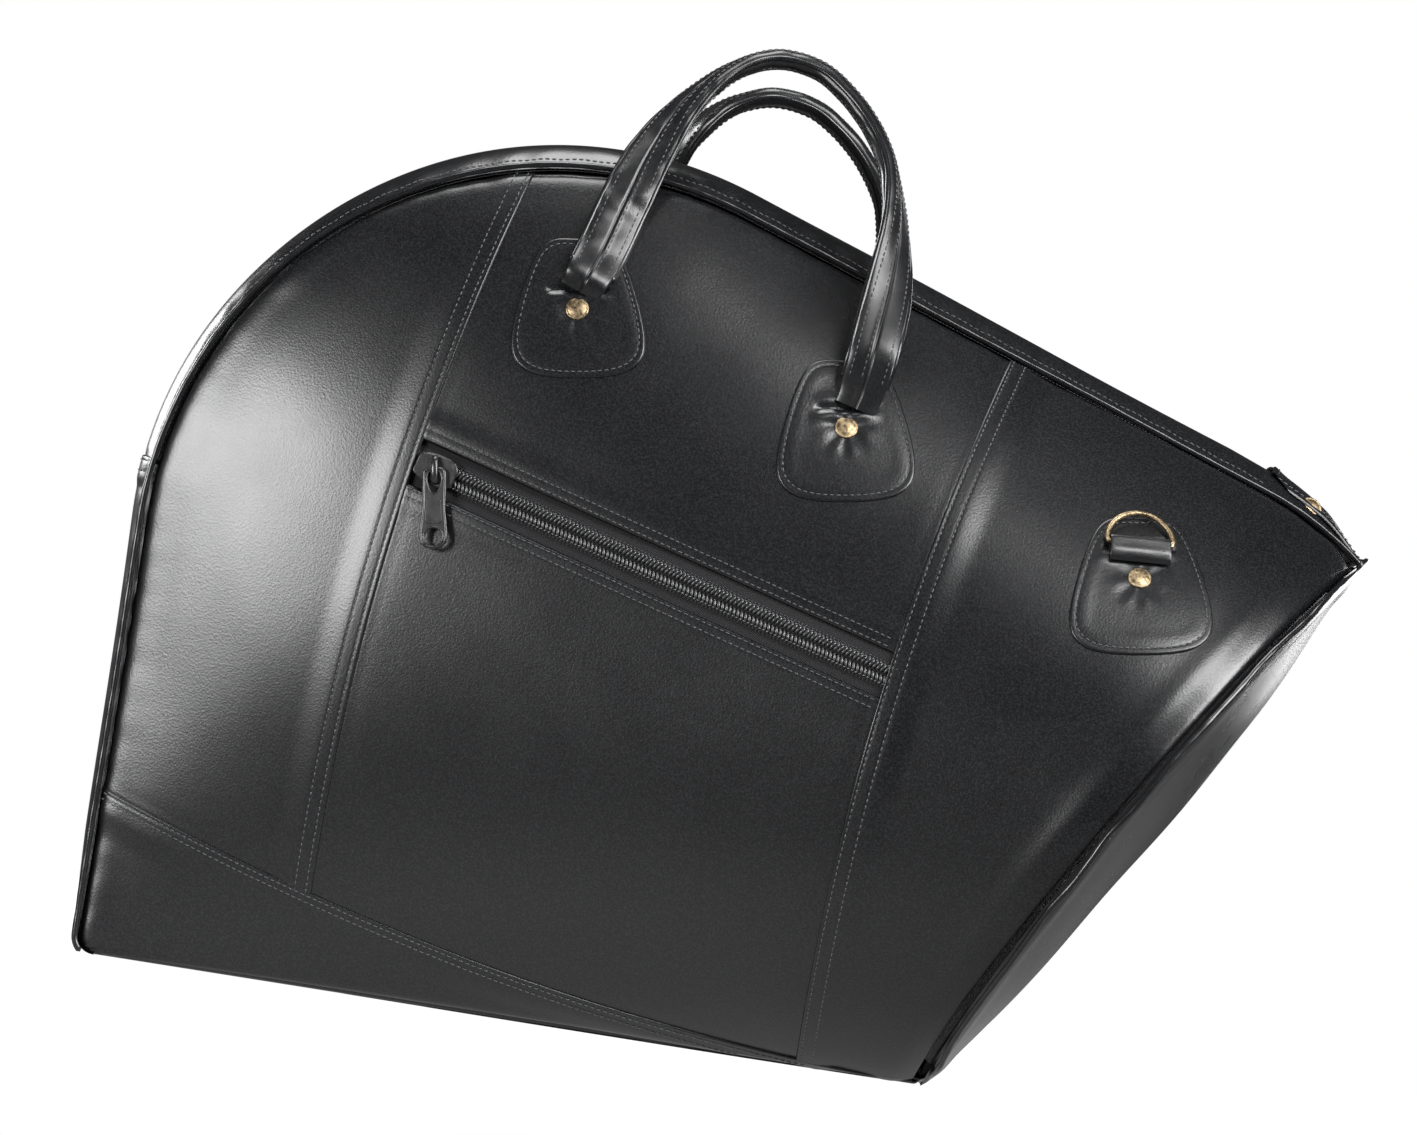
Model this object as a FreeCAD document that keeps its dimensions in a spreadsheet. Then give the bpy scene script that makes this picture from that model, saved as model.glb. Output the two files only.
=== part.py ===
"""Leather gig bag for a horn with a fixed bell, as a FreeCAD 1.1 macro. Millimetres, +Z up.

The bag stands on its flat base. The origin is the middle of the base, +X points from the narrow
coil end to the round bell end, and the front, with its zipped pocket, faces -Y.
"""

import FreeCAD, Part
import math
import os

from FreeCAD import Placement, Rotation, Vector

doc = FreeCAD.newDocument("HornBag")

# ---------------------------------------------------------------- driving dimensions
SIZES = {
    # outline of the front panel at its seams, in the XZ plane
    "base_half": 207.0,
    "arc_x": -7.0,
    "arc_z": 213.0,
    "arc_radius": 200.0,
    "top_slope": 19.1,
    "corner_x": 328.0,
    "corner_pole_x": 353.0,
    "bell_top_x": 376.6,
    "bell_top_z": 281.2,
    # depth of the bag
    "gusset_half": 55.0,
    "bell_half_depth": 166.0,
    "bell_bow": 16.0,
    "cap_bulge": 11.0,
    "crown": 11.0,
    # sheets
    "leather": 2.0,
    "foam": 6.0,
    "lining": 1.0,
    "piping_radius": 1.5,
    "sheet_gap": 0.3,
    # pocket zip
    "slot_width": 22.0,
    "chain_width": 9.8,
    "chain_height": 3.0,
    # main zip
    "main_slot": 20.0,
    "tab_half": 40.0,
    # slider and pull of both zips
    "slider_length": 21.0,
    "slider_width": 15.0,
    "slider_height": 6.6,
    "bridge_width": 4.0,
    "bridge_height": 5.0,
    "pull_length": 38.5,
    "pull_width": 13.0,
    "pull_thick": 2.2,
    # handles
    "handle_radius": 5.5,
    "handle_lift": 10.0,
    # rivets and rings
    "patch_thick": 1.6,
    "rivet_radius": 5.6,
    "rivet_head": 1.6,
    "shank_radius": 2.0,
    "ring_wire": 1.3,
    "ring_half": 16.0,
    "ring_rise": 17.0,
    "loop_width": 29.0,
}

sheet = doc.addObject("Spreadsheet::Sheet", "Sizes")
for row, (alias, value) in enumerate(SIZES.items(), start=1):
    sheet.set(f"A{row}", alias)
    sheet.set(f"B{row}", str(value))
    sheet.setAlias(f"B{row}", alias)
doc.recompute()


def size(alias):
    """The value of a cell of the sheet."""
    return float(getattr(sheet, alias))


# ---------------------------------------------------------------- the bag's outer surface
SLOPE = math.radians(size("top_slope"))
ARC_CENTRE = Vector(size("arc_x"), 0, size("arc_z"))
BELL_BOTTOM = Vector(size("base_half"), 0, 0)
BELL_TOP = Vector(size("bell_top_x"), 0, size("bell_top_z"))
BELL_HALF = (BELL_TOP - BELL_BOTTOM).Length / 2
BELL_UP = (BELL_TOP - BELL_BOTTOM).normalize()
BELL_OUT = Vector(BELL_UP.z, 0, -BELL_UP.x)
BELL_RISE = size("bell_half_depth") - size("gusset_half")
BELL_RADIUS = (BELL_HALF**2 + BELL_RISE**2) / (2 * BELL_RISE)
SPLIT_ANGLE = math.radians(140)
GRID_ALONG, GRID_ACROSS = 18, 13


def polar(angle, radius):
    """Point on the coil end's arc, or on one with the same centre."""
    return ARC_CENTRE + Vector(math.cos(angle), 0, math.sin(angle)) * radius


def gusset_stretches(offset=0.0):
    """The gusset's path, from the base up the coil end and along the top to the bell corner.

    It is a straight side, an arc, a straight top and a rounded corner. offset moves it outwards.
    """
    radius = size("arc_radius") + offset
    foot = Vector(size("arc_x") - radius, 0, 0)
    tangent = polar(math.pi / 2 - SLOPE, radius)
    top = Vector(math.cos(SLOPE), 0, -math.sin(SLOPE))
    corner = tangent + top * ((size("corner_x") - tangent.x) / top.x)
    pole = tangent + top * ((size("corner_pole_x") - tangent.x) / top.x)
    end = BELL_TOP + BELL_UP * offset
    return foot, polar(math.pi, radius), tangent, corner, pole, end


def gusset_edges(offset=0.0):
    """The gusset's path as edges."""
    foot, shoulder, tangent, corner, pole, end = gusset_stretches(offset)
    middle = polar(math.radians(125), size("arc_radius") + offset)
    bend = Part.BezierCurve()
    bend.setPoles([corner, pole, end])
    curves = [Part.LineSegment(foot, shoulder), Part.Arc(shoulder, middle, tangent)]
    curves += [Part.LineSegment(tangent, corner), bend]
    return [curve.toShape() for curve in curves]


def gusset_point(distance):
    """Point on the seam path at a distance from its foot."""
    foot, shoulder, tangent, corner, pole, end = gusset_stretches()
    sweep = math.pi / 2 + SLOPE
    lengths = [shoulder.z, sweep * size("arc_radius"), (corner - tangent).Length]
    if distance <= lengths[0]:
        return foot + Vector(0, 0, distance)
    distance -= lengths[0]
    if distance <= lengths[1]:
        return polar(math.pi - distance / size("arc_radius"), size("arc_radius"))
    distance -= lengths[1]
    if distance <= lengths[2]:
        return tangent + (corner - tangent) * (distance / lengths[2])
    share = min(1.0, (distance - lengths[2]) / ((pole - corner).Length + (end - pole).Length))
    return corner * (1 - share) ** 2 + pole * (2 * share * (1 - share)) + end * share**2


def gusset_length():
    """Length of the seam path, as gusset_point counts it."""
    foot, shoulder, tangent, corner, pole, end = gusset_stretches()
    curved = (math.pi / 2 + SLOPE) * size("arc_radius")
    bend = (pole - corner).Length + (end - pole).Length
    return shoulder.z + curved + (corner - tangent).Length + bend


SPLIT = size("arc_z") + (math.pi - SPLIT_ANGLE) * size("arc_radius")
PATH_LENGTH = gusset_length()
FOOT = gusset_point(0)
CROWN_POINT = gusset_point(SPLIT)


def bell_share(level):
    """How far the bell end's round reaches out at a level from -1, bottom, to 1, top."""
    return (math.sqrt(BELL_RADIUS**2 - (BELL_HALF * level) ** 2) - BELL_RADIUS) / BELL_RISE + 1


def bell_edge(across):
    """The seam of the bell end, seen from the front: across goes from 0, bottom, to 1, top."""
    point = BELL_BOTTOM + (BELL_TOP - BELL_BOTTOM) * across
    return point - BELL_OUT * (size("bell_bow") * bell_share(2 * across - 1))


def plan_point(along, across):
    """Place in the XZ plane of the patch coordinates along and across, both from 0 to 1."""
    bottom = FOOT + (BELL_BOTTOM - FOOT) * along
    top = gusset_point(SPLIT + (PATH_LENGTH - SPLIT) * along)
    left = gusset_point(SPLIT * across)
    right = bell_edge(across)
    corners = (FOOT * (1 - along) + BELL_BOTTOM * along) * (1 - across)
    corners += (CROWN_POINT * (1 - along) + BELL_TOP * along) * across
    return bottom * (1 - across) + top * across + left * (1 - along) + right * along - corners


def depth(along, across):
    """Half depth of the bag: a shallow pillow at the coil end that opens into the round bell end."""
    fullness = 0.3 * (1 - (1 - along) ** 5) + 0.7 * along**1.3
    return size("gusset_half") + BELL_RISE * fullness * bell_share(2 * across - 1)


def patch_coordinates(x, z):
    """along and across of a place in the XZ plane, by Newton's method."""
    along, across, step = 0.5, 0.5, 1e-4
    for _ in range(25):
        here = plan_point(along, across)
        da = (plan_point(along + step, across) - here) * (1 / step)
        dc = (plan_point(along, across + step) - here) * (1 / step)
        dx, dz = x - here.x, z - here.z
        det = da.x * dc.z - da.z * dc.x
        along = min(0.999, max(0.001, along + (dx * dc.z - dz * dc.x) / det))
        across = min(0.999, max(0.001, across + (da.x * dz - da.z * dx) / det))
    return along, across


def surface_depth(x, z):
    """Half depth of the bag at a place in the XZ plane."""
    return depth(*patch_coordinates(x, z))


def front_point(x, z, lift=0.0):
    """Point at a height over the front surface."""
    return Vector(x, -surface_depth(x, z), z) + front_normal(x, z) * lift


def front_normal(x, z, step=2.0):
    """Outward normal of the front surface."""
    dx = (surface_depth(x + step, z) - surface_depth(x - step, z)) / (2 * step)
    dz = (surface_depth(x, z + step) - surface_depth(x, z - step)) / (2 * step)
    return Vector(-dx, -1, -dz).normalize()


def skin(side, start, thickness):
    """Solid sheet under the front (side -1) or back (side 1) surface, from depth start inwards."""
    rows = []
    for i in range(GRID_ALONG):
        along = i / (GRID_ALONG - 1)
        row = []
        for j in range(GRID_ACROSS):
            across = j / (GRID_ACROSS - 1)
            place = plan_point(along, across)
            row.append(Vector(place.x, side * (depth(along, across) - start), place.z))
        rows.append(row)
    surface = Part.BSplineSurface()
    surface.interpolate(rows)
    return surface.toShape().extrude(Vector(0, -side * thickness, 0))


# ---------------------------------------------------------------- helpers for objects
FAR = 700.0


def arc_edge(points):
    """Edge through three points given as (x, z)."""
    return Part.Arc(*[Vector(x, 0, z) for x, z in points]).toShape()


def polyline(points):
    """Edges through points given as (x, z)."""
    places = [Vector(x, 0, z) for x, z in points]
    return [Part.makeLine(a, b) for a, b in zip(places, places[1:])]


def prism(edges, low=-FAR, high=FAR):
    """Solid of a closed outline in the XZ plane, between two depths."""
    face = Part.Face(Part.Wire(Part.__sortEdges__(edges)))
    face.translate(Vector(0, low, 0))
    return face.extrude(Vector(0, high - low, 0))


def feature(label, shape, placement=None):
    """A document object that holds a shape made with Part's own functions."""
    obj = doc.addObject("Part::Feature", label)
    obj.Label = label
    obj.Shape = shape
    if placement:
        obj.Placement = placement
    return obj


def bound(kind, name, **expressions):
    """A Part primitive whose properties are bound to the sheet."""
    obj = doc.addObject(kind, name)
    for prop, text in expressions.items():
        obj.setExpression(prop, text)
    return obj


def boolean(kind, label, base, tool):
    """A Part::Cut or Part::Common of two objects."""
    obj = doc.addObject(kind, label)
    obj.Label = label
    obj.Base = base
    obj.Tool = tool
    return obj


def fused(label, *parts):
    """A Part::MultiFuse of several objects."""
    obj = doc.addObject("Part::MultiFuse", label)
    obj.Label = label
    obj.Shapes = list(parts)
    return obj


def frame_at(origin, across, out):
    """Placement whose X is along across, whose Z is out, and whose Y completes them."""
    z_axis = Vector(out).normalize()
    y_axis = z_axis.cross(across).normalize()
    x_axis = y_axis.cross(z_axis)
    return Placement(origin, Rotation(x_axis, y_axis, z_axis, "ZXY"))


pieces = {}


def keep(obj):
    """Registers an object as a sub-part under its label."""
    pieces[obj.Label] = obj
    return obj


# ---------------------------------------------------------------- seams, as (x, z)
COIL_SEAM = [(-41, 425), (-85, 227), (-98, 20)]
BELL_SEAM = [(199, 365), (157, 185), (146, -6)]
BASE_SEAM = [(-215, 84), (-35, 31), (203, 0.5)]
ZIP_START, ZIP_END = Vector(-89, 0, 262.3), Vector(162, 0, 193.1)
ZIP_ALONG = (ZIP_END - ZIP_START).normalize()
ZIP_UP = Vector(-ZIP_ALONG.z, 0, ZIP_ALONG.x)
SLOT_HALF = size("slot_width") / 2


def slot_line(offset):
    """Long line beside the pocket zip's middle, offset upwards, as two (x, z) points."""
    middle = ZIP_START + ZIP_UP * offset
    ends = [middle - ZIP_ALONG * 300, middle + ZIP_ALONG * 600]
    return [(end.x, end.z) for end in ends]


def side_prism(curve, side_x):
    """Everything on one side of a seam that runs from top to bottom."""
    (x0, z0), _, (x1, z1) = curve
    outline = polyline([(x1, z1), (x1, -FAR), (side_x, -FAR), (side_x, FAR), (x0, FAR), (x0, z0)])
    return prism([arc_edge(curve)] + outline)


def slot_prism(low, high):
    """Band along the pocket zip, between two heights over its middle."""
    (x0, z0), (x1, z1) = slot_line(low)
    (x2, z2), (x3, z3) = slot_line(high)
    return prism(polyline([(x0, z0), (x1, z1), (x3, z3), (x2, z2), (x0, z0)]))


def base_prism():
    """Everything under the seam of the bottom panel."""
    (x0, z0), _, (x1, z1) = BASE_SEAM
    outline = polyline([(x1, z1), (FAR, z1), (FAR, -FAR), (-FAR, -FAR), (-FAR, z0), (x0, z0)])
    return prism([arc_edge(BASE_SEAM)] + outline)


# ---------------------------------------------------------------- leather panels
def make_panels():
    """Front and back leather, cut along the seams."""
    coil_side, bell_side = side_prism(COIL_SEAM, -FAR), side_prism(BELL_SEAM, FAR)
    under, slot = base_prism(), slot_prism(-SLOT_HALF, SLOT_HALF)
    above, below = slot_prism(SLOT_HALF, FAR), slot_prism(-FAR, -SLOT_HALF)
    for side, name in ((-1, "front"), (1, "back")):
        leather = skin(side, 0, size("leather"))
        upper = leather.cut(under)
        keep(feature(f"{name}_coil_panel", upper.common(coil_side)))
        keep(feature(f"{name}_bell_panel", upper.common(bell_side)))
        centre = upper.cut(coil_side).cut(bell_side)
        if side < 0:
            keep(feature("front_upper_panel", centre.common(above)))
            keep(feature("front_lower_panel", centre.common(below)))
        else:
            keep(feature("back_centre_panel", centre))
        keep(feature(f"bottom_{name}_wrap", leather.common(under)))
        make_padding(side, name, slot)


def make_base():
    """The flat underside of the bottom panel."""
    gap = size("leather") + size("sheet_gap")
    base = bound(
        "Part::Box",
        "bottom_panel",
        Length=f"2 * Sizes.base_half - {gap}",
        Width=f"2 * Sizes.gusset_half - {2 * gap}",
        Height="Sizes.leather",
    )
    base.Placement.Base = Vector(-size("base_half"), gap - size("gusset_half"), 0)
    keep(base)


def make_padding(side, name, slot):
    """Foam and lining behind the front or the back leather."""
    margin = 4.0
    inner = gusset_edges(-margin)
    ends = [edge.Vertexes for edge in (inner[0], inner[-1])]
    foot, corner = ends[0][0].Point, ends[1][-1].Point
    low = (BELL_BOTTOM.x - 3 * margin, margin)
    outline = polyline([(corner.x, corner.z), low, (foot.x, margin)])
    trimmed = Part.LineSegment(Vector(foot.x, 0, margin), Vector(foot.x, 0, size("arc_z")))
    room = prism([trimmed.toShape()] + inner[1:] + outline)
    foam = skin(side, size("leather") + size("sheet_gap") + 0.5, size("foam") - 0.5).common(room)
    start = size("leather") + size("foam") + 2 * size("sheet_gap")
    lining = skin(side, start, size("lining")).common(room)
    if side < 0:
        foam, lining = foam.cut(slot), lining.cut(slot)
    keep(feature(f"{name}_foam", foam))
    keep(feature(f"{name}_lining", lining))


# ---------------------------------------------------------------- gusset and its zip
def band(start_angle, end_edges, low, high, inner, outer):
    """Part of the gusset between two depths, from an angle of the arc to the bell corner."""
    radius = size("arc_radius")
    turns = (start_angle, (start_angle + math.pi / 2 - SLOPE) / 2, math.pi / 2 - SLOPE)
    edges = []
    for offset in (inner, outer):
        edges.append(Part.Arc(*[polar(turn, radius + offset) for turn in turns]).toShape())
        edges += gusset_edges(offset)[2:end_edges]
    starts = [polar(start_angle, radius + offset) for offset in (inner, outer)]
    finish = [gusset_stretches(offset)[3 if end_edges == 3 else 5] for offset in (inner, outer)]
    edges.append(Part.makeLine(*starts))
    edges.append(Part.makeLine(*finish))
    return prism(edges, low, high)


CROSS_SEAM = math.radians(171.7)


def make_gusset():
    """Plain band on the coil side, the two zip bands over the top, the zip's tape and chain."""
    half, gap = size("gusset_half"), size("sheet_gap")
    radius, crown = size("arc_radius"), size("crown")
    turns = [math.pi, (math.pi + CROSS_SEAM) / 2, CROSS_SEAM]
    edges = []
    for offset in (gap, crown):
        edges.append(Part.Arc(*[polar(turn, radius + offset) for turn in turns]).toShape())
        shoulder = polar(math.pi, radius + offset)
        edges.append(Part.makeLine(shoulder, Vector(shoulder.x, 0, 0)))
    edges.append(Part.makeLine(polar(CROSS_SEAM, radius + gap), polar(CROSS_SEAM, radius + crown)))
    feet = [Vector(polar(math.pi, radius + offset).x, 0, 0) for offset in (gap, crown)]
    edges.append(Part.makeLine(*feet))
    keep(feature("gusset_plain_band", prism(edges, -half, half)))
    slot = size("main_slot") / 2
    keep(feature("gusset_front_band", band(CROSS_SEAM, 4, -half, -slot, gap, crown)))
    keep(feature("gusset_back_band", band(CROSS_SEAM, 4, slot, half, gap, crown)))
    width = slot - gap
    keep(feature("main_zip_tape", band(CROSS_SEAM, 3, -width, width, 0.5, 1.5)))
    chain = size("chain_width") / 2
    keep(feature("main_zip_chain", band(CROSS_SEAM, 3, -chain, chain, 1.5, 1.5 + size("chain_height"))))


PIPED_LEVEL = 0.955


def make_pipe(label, edges, section_centre, section_axis):
    """Round cord under leather, swept along edges."""
    circle = Part.makeCircle(size("piping_radius"), section_centre, section_axis)
    pipe = Part.Wire(Part.__sortEdges__(edges)).makePipeShell([Part.Wire(circle)], True, False)
    return keep(feature(label, pipe))


def make_piping():
    """Piping along both gusset seams and round the bell end."""
    clear = size("piping_radius") + 0.2
    start = Vector(FOOT.x - clear, 0, 3.0)
    for side, name in ((-1, "front"), (1, "back")):
        shift = Vector(0, side * (size("gusset_half") + clear), 0)
        edges = gusset_edges(clear)
        edges[0] = Part.makeLine(start, edges[0].Vertexes[-1].Point)
        for edge in edges:
            edge.translate(shift)
        make_pipe(f"{name}_piping", edges, start + shift, Vector(0, 0, 1))
    rings = []
    for side in (-1, 1):
        points = []
        for level in (-PIPED_LEVEL, 0.0, PIPED_LEVEL):
            share = bell_share(level)
            middle = (BELL_BOTTOM + BELL_TOP) * 0.5 + BELL_UP * (BELL_HALF * level)
            out = clear + size("leather") - size("bell_bow") * share
            reach = size("gusset_half") + BELL_RISE * share + clear * abs(side)
            points.append(middle + BELL_OUT * out + Vector(0, side * reach, 0))
        arc = Part.Arc(*points)
        circle = Part.makeCircle(size("piping_radius"), points[0], arc.tangent(arc.FirstParameter)[0])
        rings.append(Part.Wire(arc.toShape()).makePipeShell([Part.Wire(circle)], True, False))
    keep(feature("bell_piping", Part.makeCompound(rings)))


# ---------------------------------------------------------------- bell end
def cap_sheet(shrink, inside, thickness):
    """Bulging sheet across the bell end, shrunk at its rim and set inside the seam."""
    rows, count = [], 11
    middle = (BELL_BOTTOM + BELL_TOP) * 0.5 - BELL_OUT * inside
    half = BELL_HALF - shrink
    for i in range(count):
        level = -1 + 2 * i / (count - 1)
        share = bell_share(level)
        reach = size("gusset_half") + BELL_RISE * share - shrink
        row = []
        for j in range(count):
            turn = -1 + 2 * j / (count - 1)
            bulge = share * (size("cap_bulge") * (1 - turn**2) - size("bell_bow") * turn**2)
            row.append(middle + BELL_UP * (half * level) + BELL_OUT * bulge + Vector(0, turn * reach, 0))
        rows.append(row)
    surface = Part.BSplineSurface()
    surface.interpolate(rows)
    return surface.toShape().extrude(BELL_OUT * -thickness)


def make_bell_end():
    """Leather cap and the foam disc behind it."""
    leather, gap = size("leather"), size("sheet_gap")
    keep(feature("bell_cap", cap_sheet(leather + gap, -leather, leather)))
    rim = leather + size("foam") + size("lining") + 8 * gap
    keep(feature("bell_foam", cap_sheet(rim, gap, size("foam"))))


# ---------------------------------------------------------------- surface-following patches
def patch_outline(centre, width, height, tilt):
    """Closed outline of a patch: narrow and round at the top, wide with round corners below."""
    corners = [(-0.3, 0.42), (0.0, 0.5), (0.3, 0.42), (0.5, -0.18), (0.4, -0.44), (0.0, -0.5)]
    corners += [(-0.4, -0.44), (-0.5, -0.18)]
    turned = []
    for x, z in corners:
        dx, dz = x * width, z * height
        turned.append(
            Vector(
                centre[0] + dx * math.cos(tilt) - dz * math.sin(tilt),
                0,
                centre[1] + dx * math.sin(tilt) + dz * math.cos(tilt),
            )
        )
    curve = Part.BSplineCurve()
    curve.interpolate(turned, PeriodicFlag=True)
    return curve.toShape()


def make_patch(label, side, centre, width, height, tilt):
    """Leather patch that lies on the front or back surface."""
    thick = size("patch_thick")
    outline = prism([patch_outline(centre, width, height, tilt)])
    return keep(feature(label, skin(side, -thick, thick - 0.05).common(outline)))


# places of the fittings, as (x, z)
LEFT_RIVET, RIGHT_RIVET, RING_RIVET = (-15, 344.5), (121.5, 308), (270.5, 258)
LEFT_PATCH, RIGHT_PATCH, RING_PATCH = (-14.5, 345), (121.5, 306.5), (271.5, 254.5)
BACK_RING_RIVET, BACK_RING_PATCH = (-148, 258), (-148, 253.5)
PATCH_TILT = math.radians(9)


def mirrored(point, side):
    """A point of the front, or its mirror image on the back."""
    return Vector(point.x, -side * point.y, point.z)


def rivet_shape(place, side, over):
    """Low domed head with its shank, on the surface at a place."""
    out = mirrored(front_normal(*place), side)
    seat = mirrored(front_point(*place, over), side)
    head = Part.makeCylinder(size("rivet_radius"), size("rivet_head") * 0.5, seat, out)
    ball_radius = (size("rivet_radius") ** 2 + size("rivet_head") ** 2 * 0.25) / size("rivet_head")
    crown_base = seat + out * (size("rivet_head") * 0.5)
    ball = Part.makeSphere(ball_radius, crown_base - out * (ball_radius - size("rivet_head") * 0.5))
    cap = Part.makeCylinder(size("rivet_radius"), size("rivet_head"), crown_base, out).common(ball)
    shank = Part.makeCylinder(size("shank_radius"), over + size("leather"), seat, -out)
    return head.fuse(cap).fuse(shank).removeSplitter()


def pierce(labels, shape):
    """Cuts a rivet's shank out of the leather that it goes through."""
    for label in labels:
        obj = pieces[label]
        obj.Shape = obj.Shape.cut(shape)


def make_fittings():
    """Patches, rivets, ring loops and rings."""
    seat = size("patch_thick")
    for side, name in ((-1, "front"), (1, "back")):
        make_patch(f"{name}_left_patch", side, LEFT_PATCH, 64, 68, PATCH_TILT)
        make_patch(f"{name}_right_patch", side, RIGHT_PATCH, 66, 68, PATCH_TILT)
    make_patch("front_ring_patch", -1, RING_PATCH, 68, 65, PATCH_TILT)
    make_patch("back_ring_patch", 1, BACK_RING_PATCH, 68, 65, -PATCH_TILT)
    handle_rivets = []
    for side, name, centre in ((-1, "front", "front_upper_panel"), (1, "back", "back_centre_panel")):
        for place, patch in ((LEFT_RIVET, "left"), (RIGHT_RIVET, "right")):
            rivet = rivet_shape(place, side, seat)
            pierce([centre, f"{name}_{patch}_patch"], rivet)
            handle_rivets.append(rivet)
    keep(feature("handle_rivets", Part.makeCompound(handle_rivets)))
    ring_rivets = []
    for side, name, place in ((-1, "front_ring", RING_RIVET), (1, "back_ring", BACK_RING_RIVET)):
        rivet = rivet_shape(place, side, seat)
        panel = "front_bell_panel" if side < 0 else "back_coil_panel"
        pierce([panel, f"{name}_patch"], rivet)
        ring_rivets.append(rivet)
        make_ring(name, side, place)
    keep(feature("ring_rivets", Part.makeCompound(ring_rivets)))


RING_FRAMES = {}


def make_ring(name, side, rivet_place):
    """Leather loop over a D-shaped ring that stands up flat against the patch."""
    tilt = PATCH_TILT if side < 0 else -PATCH_TILT
    place = (rivet_place[0] - 15 * math.sin(tilt), rivet_place[1] + 15 * math.cos(tilt))
    out = mirrored(front_normal(*place), side)
    along = Vector(math.cos(tilt), 0, math.sin(tilt))
    wire, clear = size("ring_wire"), 0.35
    loop_wall = 1.2
    lift = size("patch_thick") + 0.3 + loop_wall + clear + wire
    bar = mirrored(front_point(*place, lift), side)
    here = frame_at(bar, along, out)
    RING_FRAMES[name] = here
    half, rise, round_off = size("ring_half"), size("ring_rise"), 4.0
    left, right = Vector(-half, 0, 0), Vector(half, 0, 0)
    top = Vector(0, rise, 0)
    if here.Rotation.multVec(top).z < 0:
        top = top * -1
    bow = Part.Arc(left, top, right).toShape()
    straight = Part.makeLine(right, left)
    section = Part.Wire(Part.makeCircle(wire, Vector(0, 0, 0), Vector(1, 0, 0)))
    bar_solid = Part.makeCylinder(wire, 2 * half, left, Vector(1, 0, 0))
    start_tangent = Part.Arc(left, top, right).tangent(Part.Arc(left, top, right).FirstParameter)[0]
    bow_section = Part.Wire(Part.makeCircle(wire, left, start_tangent))
    bow_solid = Part.Wire(bow).makePipeShell([bow_section], True, False)
    balls = [Part.makeSphere(wire, end) for end in (left, right)]
    ring = bow_solid.fuse([bar_solid] + balls).removeSplitter()
    ring.Placement = here
    keep(feature(f"{name}_d_ring", ring))
    inner = wire + clear
    outer = inner + loop_wall
    width = size("loop_width")
    begin = Vector(-width / 2, 0, 0)
    tube = Part.makeCylinder(outer, width, begin, Vector(1, 0, 0))
    tube = tube.cut(Part.makeCylinder(inner, width, begin, Vector(1, 0, 0)))
    tube.Placement = here
    keep(feature(f"{name}_loop", tube))


# ---------------------------------------------------------------- handles
HANDLE_FEET = [(-12.5, 355.5), (125.5, 320.5)]
FRONT_APEX, BACK_APEX = Vector(64, -34, 493), Vector(66, -38, 477)


def handle_path(apex):
    """Straight runs of a handle's middle line on the front, foot to foot, as points."""
    foot_left, foot_right = [front_point(*foot, size("handle_lift")) for foot in HANDLE_FEET]
    lean = (apex - (foot_left + foot_right) * 0.5).normalize()
    along = (foot_right - foot_left).normalize()
    reach = (apex - foot_left).dot(lean)
    rises = [(-0.0, 0.0), (0.07, 0.42), (0.17, 0.78), (0.38, 0.985), (0.62, 0.985), (0.88, 0.80)]
    rises += [(1.045, 0.44), (1.0, 0.0)]
    span = (foot_right - foot_left).Length
    return [foot_left + along * (x * span) + lean * (z * reach) for x, z in rises]


def rounded_edges(points):
    """Straight runs joined by tangent arcs."""
    edges, here = [], points[0]
    for before, corner, after in zip(points, points[1:], points[2:]):
        into, out = (corner - before), (after - corner)
        back = 0.45 * min(into.Length, out.Length)
        start, end = corner - into.normalize() * back, corner + out.normalize() * back
        turn = into.getAngle(out)
        bisector = (end - corner) + (start - corner)
        radius = back / math.tan(turn / 2)
        inwards = bisector.normalize()
        middle = corner + inwards * (math.hypot(radius, back) - radius)
        edges.append(Part.makeLine(here, start))
        edges.append(Part.Arc(start, middle, end).toShape())
        here = end
    edges.append(Part.makeLine(here, points[-1]))
    return edges


def make_handles():
    """Front and back handle straps."""
    for name, apex in (("front", FRONT_APEX), ("back", BACK_APEX)):
        points = handle_path(apex)
        section = Part.makeCircle(size("handle_radius"), points[0], points[1] - points[0])
        path = Part.Wire(rounded_edges(points))
        strap = path.makePipeShell([Part.Wire(section)], True, False)
        for end in (points[0], points[-1]):
            strap = strap.fuse(Part.makeSphere(size("handle_radius"), end))
        strap = strap.removeSplitter()
        if name == "back":
            strap = strap.mirror(Vector(0, 0, 0), Vector(0, 1, 0))
        keep(feature(f"{name}_handle", strap))


# ---------------------------------------------------------------- zips
def zip_frame():
    """Place of the pocket zip: X along the chain, Y up across it, Z out of the bag."""
    start = Vector(ZIP_START.x, -surface_depth(ZIP_START.x, ZIP_START.z), ZIP_START.z)
    end = Vector(ZIP_END.x, -surface_depth(ZIP_END.x, ZIP_END.z), ZIP_END.z)
    along = (end - start).normalize()
    middle = (start + end) * 0.5
    out = front_normal(middle.x, middle.z)
    return frame_at(start, along, out - along * out.dot(along)), (end - start).Length


BRIDGE_HALF, BRIDGE_POST, BRIDGE_ROOF = 7.0, 2.5, 1.4
PULL_BAR = 2.0
WINDOW_LENGTH = 9.0
WINDOW_WIDTH = 5.8


def outward(frame):
    """The direction out of the bag of a local frame."""
    return frame.Rotation.multVec(Vector(0, 0, 1))


def bar(label, length, width, height, corner, placement, bindings=None):
    """A box set out from a corner in a local frame."""
    box = doc.addObject("Part::Box", label)
    box.Label = label
    box.Length, box.Width, box.Height = length, width, height
    for prop, text in (bindings or {}).items():
        box.setExpression(prop, text)
    box.Placement = placement.multiply(Placement(corner, Rotation()))
    return box


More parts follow.
